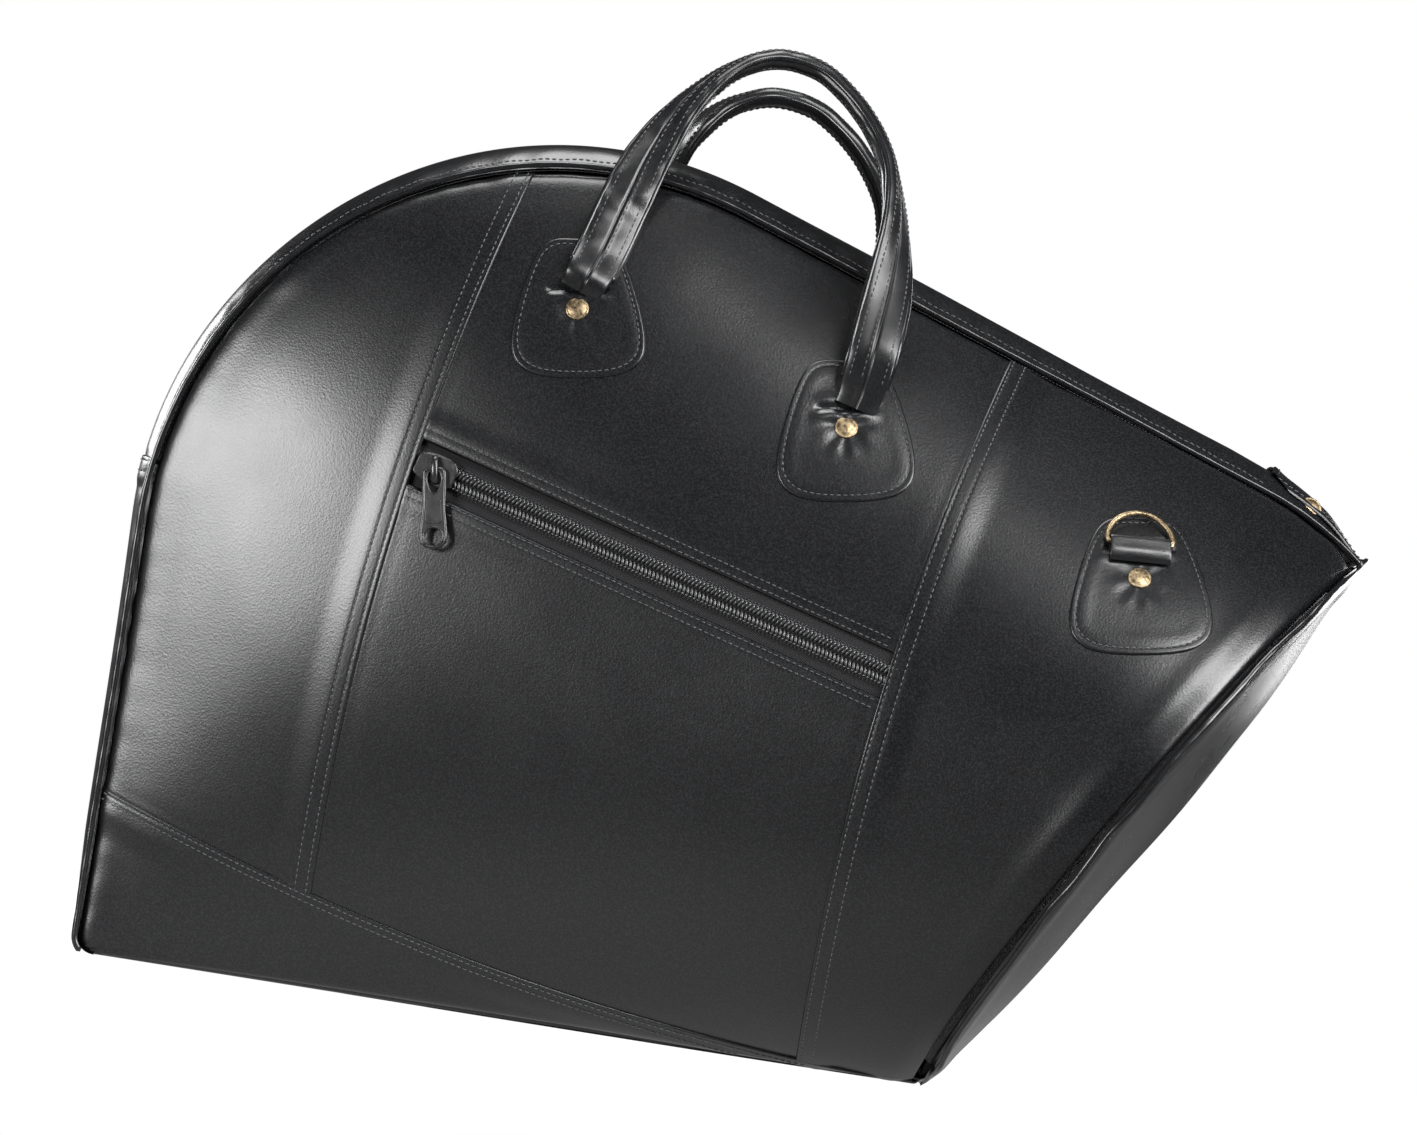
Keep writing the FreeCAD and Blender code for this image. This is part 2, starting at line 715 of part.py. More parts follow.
def make_slider(label, frame, centre_x, bed, hang):
    """Slider that surrounds the chain with clearance, and the bridge that holds its pull.

    The bridge lies along the direction that the pull hangs in. Returns the pull's hinge.
    """
    length, width, height = size("slider_length"), size("slider_width"), size("slider_height")
    chain, tall, clear = size("chain_width"), size("chain_height"), 0.35
    low = bed - 0.2
    names = {"Length": "Sizes.slider_length", "Width": "Sizes.slider_width"}
    names["Height"] = "Sizes.slider_height"
    corner = Vector(centre_x - length / 2, -width / 2, low)
    body = bar(f"{label}_block", length, width, height, corner, frame, names)
    channel_corner = Vector(centre_x - length, -chain / 2 - clear, low - 1)
    channel_height = tall + clear + 1.2
    channel = bar(f"{label}_channel", 2 * length, chain + 2 * clear, channel_height, channel_corner, frame)
    cut = boolean("Part::Cut", f"{label}_body", body, channel)
    bridge_width, bridge_height = size("bridge_width"), size("bridge_height")
    crown = frame_at(frame.multVec(Vector(centre_x, 0, low + height)), hang, outward(frame))
    names = {"Width": "Sizes.bridge_width", "Height": "Sizes.bridge_height"}
    half, post, roof = BRIDGE_HALF, BRIDGE_POST, BRIDGE_ROOF
    bridge_corner = Vector(-half, -bridge_width / 2, 0)
    bridge = bar(f"{label}_bridge", 2 * half, bridge_width, bridge_height, bridge_corner, crown, names)
    eye_corner = Vector(post - half, -bridge_width, -0.01)
    eye_length, eye_height = 2 * (half - post), bridge_height - roof
    eye = bar(f"{label}_eye", eye_length, 2 * bridge_width, eye_height, eye_corner, crown)
    arch = boolean("Part::Cut", f"{label}_arch", bridge, eye)
    keep(fused(label, cut, arch))
    return crown.multVec(Vector(0, 0, eye_height / 2))


def make_pull(label, hinge, down, out):
    """Flat pull that hangs along down: a bar in the bridge's eye, a window and a round hole.

    The pull turns about the middle of its bar.
    """
    length, width, thick = size("pull_length"), size("pull_width"), size("pull_thick")
    body = doc.addObject("PartDesign::Body", label)
    body.Label = label
    sketch = body.newObject("Sketcher::SketchObject", f"{label}_outline")
    plane = next(f for f in body.Origin.OriginFeatures if f.Role == "XY_Plane")
    sketch.AttachmentSupport = [(plane, "")]
    sketch.MapMode = "FlatFace"
    half, head = width / 2, PULL_BAR / 2
    straight = length - head - half
    add = sketch.addGeometry
    add(Part.LineSegment(Vector(-head, -half * 0.72, 0), Vector(-head, half * 0.72, 0)), False)
    add(Part.LineSegment(Vector(-head, half * 0.72, 0), Vector(straight, half, 0)), False)
    arc = Part.Arc(Vector(straight, half, 0), Vector(straight + half, 0, 0), Vector(straight, -half, 0))
    add(arc, False)
    add(Part.LineSegment(Vector(straight, -half, 0), Vector(-head, -half * 0.72, 0)), False)
    low, high, side = head, head + WINDOW_LENGTH, WINDOW_WIDTH / 2
    window = [(low, -side), (low, side), (high, side), (high, -side), (low, -side)]
    for (x0, y0), (x1, y1) in zip(window, window[1:]):
        add(Part.LineSegment(Vector(x0, y0, 0), Vector(x1, y1, 0)), False)
    add(Part.Circle(Vector(straight, 0, 0), Vector(0, 0, 1), half - 1.8), False)
    pad = body.newObject("PartDesign::Pad", f"{label}_plate")
    pad.Profile = sketch
    pad.setExpression("Length", "Sizes.pull_thick")
    pad.Midplane = True
    body.Placement = frame_at(hinge, down, out)
    return keep(body)


def make_pocket_zip():
    """Tape, chain, slider, pull and pocket bag behind the front leather."""
    frame, length = zip_frame()
    gap, leather = size("sheet_gap"), size("leather")
    tape_top = -leather - gap
    tape_width = size("slot_width") - 2 * gap
    corner = Vector(0, -tape_width / 2, tape_top - 1)
    keep(bar("pocket_zip_tape", length - 6, tape_width, 1.0, corner, frame))
    width, tall = size("chain_width"), size("chain_height")
    bindings = {"Width": "Sizes.chain_width", "Height": "Sizes.chain_height"}
    chain_corner = Vector(12, -width / 2, tape_top)
    keep(bar("pocket_zip_chain", length - 22, width, tall, chain_corner, frame, bindings))
    out = outward(frame)
    hang = Vector(math.sin(PATCH_TILT), 0, -math.cos(PATCH_TILT))
    hang = hang - out * hang.dot(out)
    hinge = make_slider("pocket_slider", frame, 21.0, tape_top + 0.5, hang)
    make_pull("pocket_pull", hinge, hang, out)
    deep, wall = 34.0, 1.0
    bag = bar("pocket_shell", 215, 120, 9, Vector(20, -105, tape_top - deep), frame)
    hollow_corner = Vector(20 + wall, wall - 105, tape_top - deep + wall)
    hollow = bar("pocket_hollow", 215 - 2 * wall, 120 - 2 * wall, 9 - 2 * wall, hollow_corner, frame)
    keep(boolean("Part::Cut", "pocket_bag", bag, hollow))


def main_zip_frame():
    """Place of the main zip's straight top: X up the slope from the bell corner, Z outwards."""
    corner, tangent = gusset_stretches()[3], gusset_stretches()[2]
    along = (tangent - corner).normalize()
    return frame_at(corner, along, Vector(math.sin(SLOPE), 0, math.cos(SLOPE)))


def make_main_zip():
    """Slider and pull parked at the bell corner, and the tab that covers the zip's end."""
    frame = main_zip_frame()
    along = frame.Rotation.multVec(Vector(1, 0, 0))
    hinge = make_slider("main_slider", frame, 14.0, 2.0, along)
    make_pull("main_pull", hinge, along, outward(frame))


def make_end_tab():
    """Leather tab over the end of the main zip, bent round the bell corner, and its rivet."""
    edges = []
    rises = (size("crown") + 0.3, size("crown") + 2.3)
    for offset in rises:
        edges.append(gusset_edges(offset)[3])
    edges.append(Part.makeLine(*[gusset_stretches(offset)[3] for offset in rises]))
    edges.append(Part.makeLine(*[gusset_stretches(offset)[5] for offset in rises]))
    half = size("tab_half")
    tab = prism(edges, -half, half)
    bend = edges[1].Curve
    seat, along = bend.value(0.45), bend.tangent(0.45)[0]
    out = Vector(-along.z, 0, along.x)
    heads = []
    for side in (-1, 1):
        centre = seat + out * 0.3 + Vector(0, side * 0.66 * half, 0)
        heads.append(Part.makeCylinder(size("rivet_radius"), size("rivet_head"), centre, out))
    keep(feature("zip_end_tab", tab))
    keep(feature("zip_tab_rivets", Part.makeCompound(heads)))


make_panels()
make_base()
make_gusset()
make_piping()
make_bell_end()
make_fittings()
make_handles()
make_pocket_zip()
make_main_zip()
make_end_tab()
doc.recompute()

# ---------------------------------------------------------------- checks and export
for obj in doc.Objects:
    if "Invalid" in obj.State or "Error" in obj.State:
        raise RuntimeError(f"{obj.Label} failed: {obj.State}")
os.makedirs("parts", exist_ok=True)
for label, obj in pieces.items():
    shape = obj.Shape
    if shape.isNull() or not shape.isValid() or not shape.Solids:
        raise RuntimeError(f"{label} has no valid solid")
    shape.exportStep(f"parts/{label}.step")
    box = shape.BoundBox
    print(f"{label:20s} {len(shape.Solids)} solids {shape.Volume:10.0f} mm3 ", end="")
    print(f"x {box.XMin:.0f}..{box.XMax:.0f} y {box.YMin:.0f}..{box.YMax:.0f} z {box.ZMin:.0f}..{box.ZMax:.0f}")
for place in HANDLE_FEET:
    print("handle foot", front_point(*place, size("handle_lift")))
for name, placement in RING_FRAMES.items():
    print(name, placement.Base, placement.Rotation.multVec(Vector(1, 0, 0)))
for label in ("pocket_pull", "main_pull"):
    placement = pieces[label].Placement
    print(label, placement.Base, "axis", placement.Rotation.multVec(Vector(0, 1, 0)))
print("pocket zip along", zip_frame()[0].Rotation.multVec(Vector(1, 0, 0)))
print("main zip along", main_zip_frame().Rotation.multVec(Vector(1, 0, 0)))
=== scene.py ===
"""Looks of the leather horn bag. Lengths are millimetres until a mesh is made."""

import bpy
import math
import numpy as np
from mathutils import Matrix, Vector


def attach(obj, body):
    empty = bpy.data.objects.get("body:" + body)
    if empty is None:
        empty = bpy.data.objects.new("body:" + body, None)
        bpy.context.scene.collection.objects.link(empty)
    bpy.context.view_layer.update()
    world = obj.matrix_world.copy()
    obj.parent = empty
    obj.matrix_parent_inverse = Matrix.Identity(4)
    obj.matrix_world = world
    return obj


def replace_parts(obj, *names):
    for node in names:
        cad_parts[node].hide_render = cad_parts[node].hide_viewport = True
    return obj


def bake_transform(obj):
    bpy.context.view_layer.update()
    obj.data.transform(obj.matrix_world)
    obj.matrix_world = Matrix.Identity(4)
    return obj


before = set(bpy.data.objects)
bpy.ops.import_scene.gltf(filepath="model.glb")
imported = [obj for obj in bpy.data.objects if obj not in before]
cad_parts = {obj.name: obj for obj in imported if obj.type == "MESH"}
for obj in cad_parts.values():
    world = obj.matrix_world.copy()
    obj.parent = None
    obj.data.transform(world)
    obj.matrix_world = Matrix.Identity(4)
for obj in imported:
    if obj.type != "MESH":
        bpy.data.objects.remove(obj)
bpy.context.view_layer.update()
MM = 0.001

# ------------------------------------------------------------------ driving dimensions
BASE_HALF, ARC_X, ARC_Z, ARC_RADIUS = 207.0, -7.0, 213.0, 200.0
SLOPE = math.radians(19.1)
CORNER_X, POLE_X = 328.0, 353.0
BELL_BOTTOM, BELL_TOP = np.array([BASE_HALF, 0.0]), np.array([376.6, 281.2])
GUSSET_HALF, BELL_DEPTH, BELL_BOW, CAP_BULGE = 55.0, 166.0, 16.0, 11.0
CROWN, SLOT_EDGE, SLOT_RISE = 11.0, 10.0, 5.0
PIPE, PIPE_OUT = 1.5, 1.7
CORNER_ROUND = 9.0
STITCH, THREAD, STITCH_LONG = 3.2, 0.37, 2.35
COIL_SEAM = [(-41, 425), (-85, 227), (-98, 20)]
BELL_SEAM = [(199, 365), (157, 185), (146, -6)]
BASE_SEAM = [(-215, 84), (-35, 31), (203, 0.5)]
ZIP_START, ZIP_END = np.array([-89, 262.3]), np.array([162, 193.1])
LEFT_RIVET, RIGHT_RIVET, RING_RIVET, BACK_RING_RIVET = (-15, 344.5), (121.5, 308), (270.5, 258), (-148, 258)
LEFT_PATCH, RIGHT_PATCH, RING_PATCH, BACK_RING_PATCH = (-14.5, 345), (121.5, 306.5), (271.5, 254.5), (-148, 253.5)
TILT = math.radians(9)
CROSS_SEAM = math.radians(171.7)

BELL_LENGTH = np.linalg.norm(BELL_TOP - BELL_BOTTOM)
BELL_HALF = BELL_LENGTH / 2
BELL_UP = (BELL_TOP - BELL_BOTTOM) / BELL_LENGTH
BELL_OUT = np.array([BELL_UP[1], -BELL_UP[0]])
BELL_RISE = BELL_DEPTH - GUSSET_HALF
BELL_ROUND = (BELL_HALF**2 + BELL_RISE**2) / (2 * BELL_RISE)
SPLIT = ARC_Z + math.radians(40) * ARC_RADIUS


# ------------------------------------------------------------------ small maths
def smooth(low, high, x):
    t = np.clip((np.asarray(x, float) - low) / (high - low), 0, 1)
    return t * t * (3 - 2 * t)


def bump(x, centre, width):
    return np.exp(-(((np.asarray(x, float) - centre) / width) ** 2))


def unit(v):
    v = np.asarray(v, float)
    return v / np.maximum(np.linalg.norm(v, axis=-1, keepdims=True), 1e-12)


def rounded(c, power):
    """Power of a sine or cosine that keeps its sign, for ovals with squarer or sharper corners."""
    return np.sign(c) * np.abs(c) ** power


def rolled(d, radius):
    """Drop of a rolled edge: 1 at the edge, 0 from the radius on."""
    return 1 - np.sqrt(np.clip(1 - (1 - np.clip(d, 0, radius) / radius) ** 2, 0, 1))


def lengths(line):
    return np.concatenate([[0.0], np.cumsum(np.linalg.norm(np.diff(line, axis=0), axis=1))])


def along_line(line, at):
    """Points of a polyline at distances along it."""
    s = lengths(line)
    return np.stack([np.interp(at, s, line[:, k]) for k in range(line.shape[1])], axis=1)


def heading(line, at):
    """Direction of a polyline at distances along it."""
    return along_line(line, at + 0.5) - along_line(line, at - 0.5)


def nearest_index(line, at):
    index = np.round(np.interp(at, lengths(line), np.arange(len(line)))).astype(int)
    return np.clip(index, 0, len(line) - 1)


def resample(line, count):
    return along_line(line, np.linspace(0, lengths(line)[-1], count))


def span(a, b, c, d, count):
    """Catmull-Rom span from b to c, without its last point."""
    t = np.linspace(0, 1, count, endpoint=False)[:, None]
    square, cube = 2 * a - 5 * b + 4 * c - d, 3 * b - a - 3 * c + d
    return 0.5 * (2 * b + (c - a) * t + square * t**2 + cube * t**3)


def spline(points, count):
    """Smooth curve through points, evenly spaced."""
    p = np.asarray(points, float)
    p = np.vstack([2 * p[0] - p[1], p, 2 * p[-1] - p[-2]])
    spans = [span(*p[i : i + 4], 24) for i in range(len(p) - 3)]
    return resample(np.vstack(spans + [p[-2:-1]]), count)


def mirrored(half):
    """Closed outline from its half on one side of the X axis, which starts and ends on the axis."""
    return np.vstack([half, (half * [1, -1])[::-1][1:-1]])


def arc_through(points, count=600):
    (x0, y0), (x1, y1), (x2, y2) = points
    d = 2 * (x0 * (y1 - y2) + x1 * (y2 - y0) + x2 * (y0 - y1))
    q0, q1, q2 = x0**2 + y0**2, x1**2 + y1**2, x2**2 + y2**2
    cx = (q0 * (y1 - y2) + q1 * (y2 - y0) + q2 * (y0 - y1)) / d
    cy = (q0 * (x2 - x1) + q1 * (x0 - x2) + q2 * (x1 - x0)) / d
    r = math.hypot(x0 - cx, y0 - cy)
    a0, a1 = math.atan2(y0 - cy, x0 - cx), math.atan2(y2 - cy, x2 - cx)
    a1 = a0 + (a1 - a0 + math.pi) % (2 * math.pi) - math.pi
    t = np.linspace(a0, a1, count)
    return np.stack([cx + r * np.cos(t), cy + r * np.sin(t)], axis=1)


def shifted(line, by):
    """Flat polyline moved to its left by a distance."""
    t = unit(np.gradient(line, axis=0))
    return line + np.stack([-t[:, 1], t[:, 0]], axis=1) * by


def distance(points, line):
    """Distance to a polyline and the length along it of the nearest place."""
    line = np.asarray(line, float)
    if len(line) > 160:
        line = resample(line, 160)
    a, d = line[:-1], np.diff(line, axis=0)
    s = lengths(line)
    best = np.full(len(points), 1e9)
    where = np.zeros(len(points))
    for i in range(len(a)):
        q = d[i] @ d[i]
        t = np.clip(((points - a[i]) @ d[i]) / max(q, 1e-12), 0, 1)
        r = np.linalg.norm(points - a[i] - t[:, None] * d[i], axis=1)
        closer = r < best
        best = np.where(closer, r, best)
        where = np.where(closer, s[i] + t * math.sqrt(q), where)
    return best, where


# ------------------------------------------------------------------ the bag's surface
TOP_WAY = np.array([math.cos(SLOPE), -math.sin(SLOPE)])
G_TANGENT = np.array([ARC_X, ARC_Z]) + ARC_RADIUS * np.array([math.sin(SLOPE), math.cos(SLOPE)])
G_CORNER = G_TANGENT + TOP_WAY * ((CORNER_X - G_TANGENT[0]) / TOP_WAY[0])
G_POLE = G_TANGENT + TOP_WAY * ((POLE_X - G_TANGENT[0]) / TOP_WAY[0])
G_END = BELL_TOP
G_LENGTHS = [ARC_Z, (math.pi / 2 + SLOPE) * ARC_RADIUS, np.linalg.norm(G_CORNER - G_TANGENT)]
G_LENGTHS.append(np.linalg.norm(G_POLE - G_CORNER) + np.linalg.norm(G_END - G_POLE))
PATH_LENGTH = sum(G_LENGTHS)
CORNER_AT = sum(G_LENGTHS[:3])


def path_point(s):
    """Seam path of the gusset: straight side, arc, straight top, rounded corner."""
    s = np.asarray(s, float)[..., None]
    inset = CORNER_ROUND * rolled(s, CORNER_ROUND)
    side = np.array([ARC_X - ARC_RADIUS, 0.0]) + np.concatenate([inset, s], axis=-1)
    q = s - G_LENGTHS[0]
    a = math.pi - q / ARC_RADIUS
    arc = np.array([ARC_X, ARC_Z]) + ARC_RADIUS * np.concatenate([np.cos(a), np.sin(a)], axis=-1)
    q2 = q - G_LENGTHS[1]
    top = G_TANGENT + (G_CORNER - G_TANGENT) * (q2 / G_LENGTHS[2])
    t = (q2 - G_LENGTHS[2]) / G_LENGTHS[3]
    bend = G_CORNER * (1 - t) ** 2 + G_POLE * (2 * t * (1 - t)) + G_END * t**2
    return np.where(q <= 0, side, np.where(q2 <= 0, arc, np.where(t <= 0, top, bend)))


def path_frame(s):
    """Point of the seam path and the direction away from the bag."""
    t = unit(path_point(np.asarray(s) + 0.5) - path_point(np.asarray(s) - 0.5))
    return path_point(s), np.stack([-t[..., 1], t[..., 0]], axis=-1)


def bell_share(level):
    level = np.clip(level, -1, 1)
    return (np.sqrt(BELL_ROUND**2 - (BELL_HALF * level) ** 2) - BELL_ROUND) / BELL_RISE + 1


def bell_edge(across):
    across = np.asarray(across, float)[..., None]
    line = BELL_BOTTOM + (BELL_TOP - BELL_BOTTOM) * across
    return line - BELL_OUT * BELL_BOW * bell_share(2 * across - 1)


FOOT, CROWN_POINT = path_point(0.0), path_point(SPLIT)


def plan_point(along, across):
    bottom = FOOT + (BELL_BOTTOM - FOOT) * along[..., None]
    top = path_point(SPLIT + (PATH_LENGTH - SPLIT) * along)
    left, right = path_point(SPLIT * across), bell_edge(across)
    u, v = along[..., None], across[..., None]
    corners = (FOOT * (1 - u) + BELL_BOTTOM * u) * (1 - v) + (CROWN_POINT * (1 - u) + BELL_TOP * u) * v
    return bottom * (1 - v) + top * v + left * (1 - u) + right * u - corners


def depth(along, across):
    fullness = 0.3 * (1 - (1 - along) ** 5) + 0.7 * np.maximum(along, 0) ** 1.3
    return GUSSET_HALF + BELL_RISE * fullness * bell_share(2 * across - 1)


def surface_depth(flat):
    """Half depth of the bag at (x, z) places, by Newton's method."""
    flat = np.asarray(flat, float)
    u, v = np.full(len(flat), 0.5), np.full(len(flat), 0.5)
    for _ in range(24):
        hu, hv = np.where(u > 0.5, -1e-4, 1e-4), np.where(v > 0.5, -1e-4, 1e-4)
        here = plan_point(u, v)
        du = (plan_point(u + hu, v) - here) / hu[:, None]
        dv = (plan_point(u, v + hv) - here) / hv[:, None]
        gap = flat - here
        det = du[:, 0] * dv[:, 1] - du[:, 1] * dv[:, 0]
        u = np.clip(u + (gap[:, 0] * dv[:, 1] - gap[:, 1] * dv[:, 0]) / det, 0, 1)
        v = np.clip(v + (du[:, 0] * gap[:, 1] - du[:, 1] * gap[:, 0]) / det, 0, 1)
    return depth(u, v)


def on_surface(flat, side):
    flat = np.asarray(flat, float)
    return np.stack([flat[:, 0], side * surface_depth(flat), flat[:, 1]], axis=1)


def surface_normal(flat, side, step=2.0):
    flat = np.asarray(flat, float)
    dx = (surface_depth(flat + [step, 0]) - surface_depth(flat - [step, 0])) / (2 * step)
    dz = (surface_depth(flat + [0, step]) - surface_depth(flat - [0, step])) / (2 * step)
    return unit(np.stack([-dx, np.full(len(flat), float(side)), -dz], axis=1))


# ------------------------------------------------------------------ meshes
def make(name, points, faces, material, body="bag", slot=None):
    mesh = bpy.data.meshes.new(name)
    mesh.from_pydata((np.asarray(points, float) * MM).tolist(), [], [list(map(int, f)) for f in faces])
    mesh.validate()
    mesh.polygons.foreach_set("use_smooth", [True] * len(mesh.polygons))
    mesh.update()
    obj = bpy.data.objects.new(name, mesh)
    bpy.context.scene.collection.objects.link(obj)
    obj.data.materials.append(material)
    if body:
        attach(obj, body)
    return obj


def grid_faces(rows, cols, flip=False, start=0, wrap=False):
    i, j = np.meshgrid(np.arange(rows - 1), np.arange(cols if wrap else cols - 1), indexing="ij")
    i, j = i.ravel() * cols + start, j.ravel()
    k = (j + 1) % cols
    faces = np.stack([i + j, i + cols + j, i + cols + k, i + k], axis=1)
    return faces[:, ::-1] if flip else faces


def closed_sheet(outer, inner, flip):
    """Points and faces of a sheet between two grids of points, closed round its edge."""
    rows, cols = outer.shape[:2]
    both = rows * cols
    loop = [i * cols for i in range(rows)] + [(rows - 1) * cols + j for j in range(1, cols)]
    loop += [i * cols + cols - 1 for i in range(rows - 2, -1, -1)] + list(range(cols - 2, 0, -1))
    faces = list(grid_faces(rows, cols, flip=flip)) + list(grid_faces(rows, cols, flip=not flip, start=both))
    for a, b in zip(loop, loop[1:] + loop[:1]):
        if flip:
            a, b = b, a
        faces.append([b, a, a + both, b + both])
    return np.concatenate([outer.reshape(-1, 3), inner.reshape(-1, 3)]), faces


def grid_normals(p, side):
    """Normals of a grid of points, turned to the bag's outside."""
    n = unit(np.cross(np.gradient(p, axis=0), np.gradient(p, axis=1)))
    return n * np.where(n[..., 1:2] * side < 0, -1, 1)


def frames_along(path, hint=(0.0, 1.0, 0.0)):
    t = unit(np.gradient(path, axis=0))
    n = np.zeros_like(path)
    v = np.asarray(hint, float)
    for i in range(len(path)):
        v = unit(v - t[i] * (v @ t[i]))
        n[i] = v
    return t, n, np.cross(t, n)


def tube_mesh(path, radius, sides=12, closed=False):
    """Points and faces of a round tube with domed ends, or of a ring."""
    path = np.asarray(path, float)
    radius = np.broadcast_to(np.asarray(radius, float), (len(path),)).copy()
    t, n, b = frames_along(path, (0.13, 0.97, 0.21))
    if closed:
        t = unit(np.roll(path, -1, axis=0) - np.roll(path, 1, axis=0))
        n = unit(np.cross(np.cross(t, n), t))
        b = np.cross(t, n)
    a = np.linspace(0, 2 * math.pi, sides, endpoint=False)
    ring = np.cos(a)[None, :, None] * n[:, None] + np.sin(a)[None, :, None] * b[:, None]
    p = path[:, None] + ring * radius[:, None, None]
    count = len(path)
    faces = list(grid_faces(count, sides, wrap=True))
    p = p.reshape(-1, 3)
    if closed:
        last = (count - 1) * sides
        for j in range(sides):
            k = (j + 1) % sides
            faces.append([last + j, j, k, last + k])
        return p, faces
    tips = [path[0] - t[0] * radius[0] * 0.8, path[-1] + t[-1] * radius[-1] * 0.8]
    p = np.vstack([p, tips])
    for j in range(sides):
        k = (j + 1) % sides
        faces.append([len(p) - 2, j, k])
        faces.append([len(p) - 1, (count - 1) * sides + k, (count - 1) * sides + j])
    return p, faces


def tube(name, path, radius, material, sides=12, closed=False, **rest):
    return make(name, *tube_mesh(path, radius, sides, closed), material, **rest)


def capsules(centres, along, up, length, radius, flat=1.0, sides=6):
    """Points and faces of many small capsules, each along its own direction."""
    centres, along, up = np.asarray(centres, float), unit(along), np.asarray(up, float)
    up = unit(up - along * np.sum(up * along, axis=1, keepdims=True))
    wide = np.cross(along, up)
    a = np.linspace(0, 2 * math.pi, sides, endpoint=False)
    stations = [(-0.5, 0.0), (-0.4, 0.75), (-0.12, 1.0), (0.12, 1.0), (0.4, 0.75), (0.5, 0.0)]
    rows = []
    for t, r in stations:
        sag = -abs(t) ** 3 * 4 * radius
        for k in range(1 if r == 0 else sides):
            rows.append((t * length, r * radius * math.cos(a[k]), r * radius * flat * math.sin(a[k]) + sag))
    p = centres[:, None] + np.array(rows) @ np.stack([along, wide, up], axis=1)
    j, last = np.arange(sides), 1 + 4 * sides
    k = (j + 1) % sides
    base = [np.stack([s + j, s + k, s + sides + k, s + sides + j], axis=1) for s in (1, 1 + sides, 1 + 2 * sides)]
    caps = [np.stack([0 * j, 1 + k, 1 + j], axis=1)]
    caps.append(np.stack([0 * j + last, last - sides + j, last - sides + k], axis=1))
    first = np.arange(len(centres))[:, None, None] * len(rows)
    quads = (np.vstack(base) + first).reshape(-1, 4)
    tris = (np.vstack(caps) + first).reshape(-1, 3)
    return p.reshape(-1, 3), list(quads) + list(tris)


def joined(parts):
    """One set of points and faces from several."""
    points, faces, start = [], [], 0
    for p, f in parts:
        points.append(p)
        faces += [[int(k) + start for k in face] for face in f]
        start += len(p)
    return np.vstack(points), faces


# ------------------------------------------------------------------ materials
class Shader:
    """Principled material with textures in the object's own coordinates, which are metres."""

    def __init__(self, name, colour, rough, metal=0.0, specular=0.5, sheen=0.0):
        self.material = bpy.data.materials.new(name)
        self.material.use_nodes = True
        self.nodes, self.links = self.material.node_tree.nodes, self.material.node_tree.links
        self.base = self.nodes["Principled BSDF"]
        values = {"Base Color": (*colour, 1), "Roughness": rough, "Metallic": metal}
        values.update({"Specular IOR Level": specular, "Sheen Weight": sheen})
        for key, value in values.items():
            self.base.inputs[key].default_value = value
        self.place = self.nodes.new("ShaderNodeTexCoord").outputs["Object"]

    def feed(self, key, socket):
        self.links.new(socket, self.base.inputs[key])

    def texture(self, kind, output, **values):
        node = self.nodes.new("ShaderNodeTex" + kind)
        for key, value in values.items():
            node.inputs[key].default_value = value
        self.links.new(self.place, node.inputs["Vector"])
        return node.outputs[output]

    def noise(self, scale, detail=4, rough=0.55):
        return self.texture("Noise", "Fac", Scale=scale, Detail=detail, Roughness=rough)

    def wave(self, scale, distortion=0.0):
        return self.texture("Wave", "Fac", Scale=scale, Distortion=distortion)

    def cells(self, scale):
        return self.texture("Voronoi", "Distance", Scale=scale)

    def spread(self, fac, low, high, start=0.3, end=0.7):
        r = self.nodes.new("ShaderNodeMapRange")
        for key, value in (("From Min", start), ("From Max", end), ("To Min", low), ("To Max", high)):
            r.inputs[key].default_value = value
        self.links.new(fac, r.inputs["Value"])
        return r.outputs["Result"]

    def gloss(self, fac, low, high):
        self.feed("Roughness", self.spread(fac, low, high))

    def colours(self, fac, *stops):
        """Base colour from a ramp of (position, colour) stops."""
        r = self.nodes.new("ShaderNodeValToRGB")
        elements = r.color_ramp.elements
        elements[0].position, elements[1].position = stops[0][0], stops[-1][0]
        for position, _ in stops[1:-1]:
            elements.new(position)
        for element, (_, colour) in zip(elements, stops):
            element.color = (*colour, 1)
        self.links.new(fac, r.inputs["Fac"])
        self.feed("Base Color", r.outputs["Color"])

    def bumps(self, *layers):
        """Chain of bump nodes: (height socket, strength, distance in metres)."""
        last = None
        for height, strength, far in layers:
            node = self.nodes.new("ShaderNodeBump")
            node.inputs["Strength"].default_value = strength
            node.inputs["Distance"].default_value = far
            self.links.new(height, node.inputs["Height"])
            if last:
                self.links.new(last, node.inputs["Normal"])
            last = node.outputs["Normal"]
        self.feed("Normal", last)


def leather(name, colour, rough, grain, crease=0.035, uneven=0.012, scale=1.0):
    """Hide: pebbled grain, broad soft creases, uneven gloss and colour."""
    m = Shader(name, colour, rough)
    fine, cells = m.noise(1000 * scale, 3), m.cells(900 * scale)
    m.colours(fine, (0.36, [c * 0.4 for c in colour]), (0.5, colour), (0.64, [c * 2.4 for c in colour]))
    m.gloss(m.noise(32 * scale, 2), rough - uneven, rough + uneven)
    m.bumps((m.noise(26 * scale, 1), crease, 0.0022), (cells, grain, 0.00022), (fine, grain, 0.00022))
    return m.material


BLACK = leather("black_hide", (0.0046, 0.0048, 0.0054), 0.28, 0.14)
GLOSSY = leather("handle_hide", (0.005, 0.0052, 0.0058), 0.31, 0.1, crease=0.25, uneven=0.05, scale=1.6)
PIPED = leather("piping_hide", (0.0055, 0.0057, 0.0064), 0.24, 0.07, crease=0.15, scale=1.5)


def thread_material():
    m = Shader("bonded_thread", (0.04, 0.041, 0.044), 0.38)
    m.gloss(m.noise(300), 0.34, 0.5)
    m.bumps((m.wave(900, 1.5), 0.35, 0.0001))
    return m.material


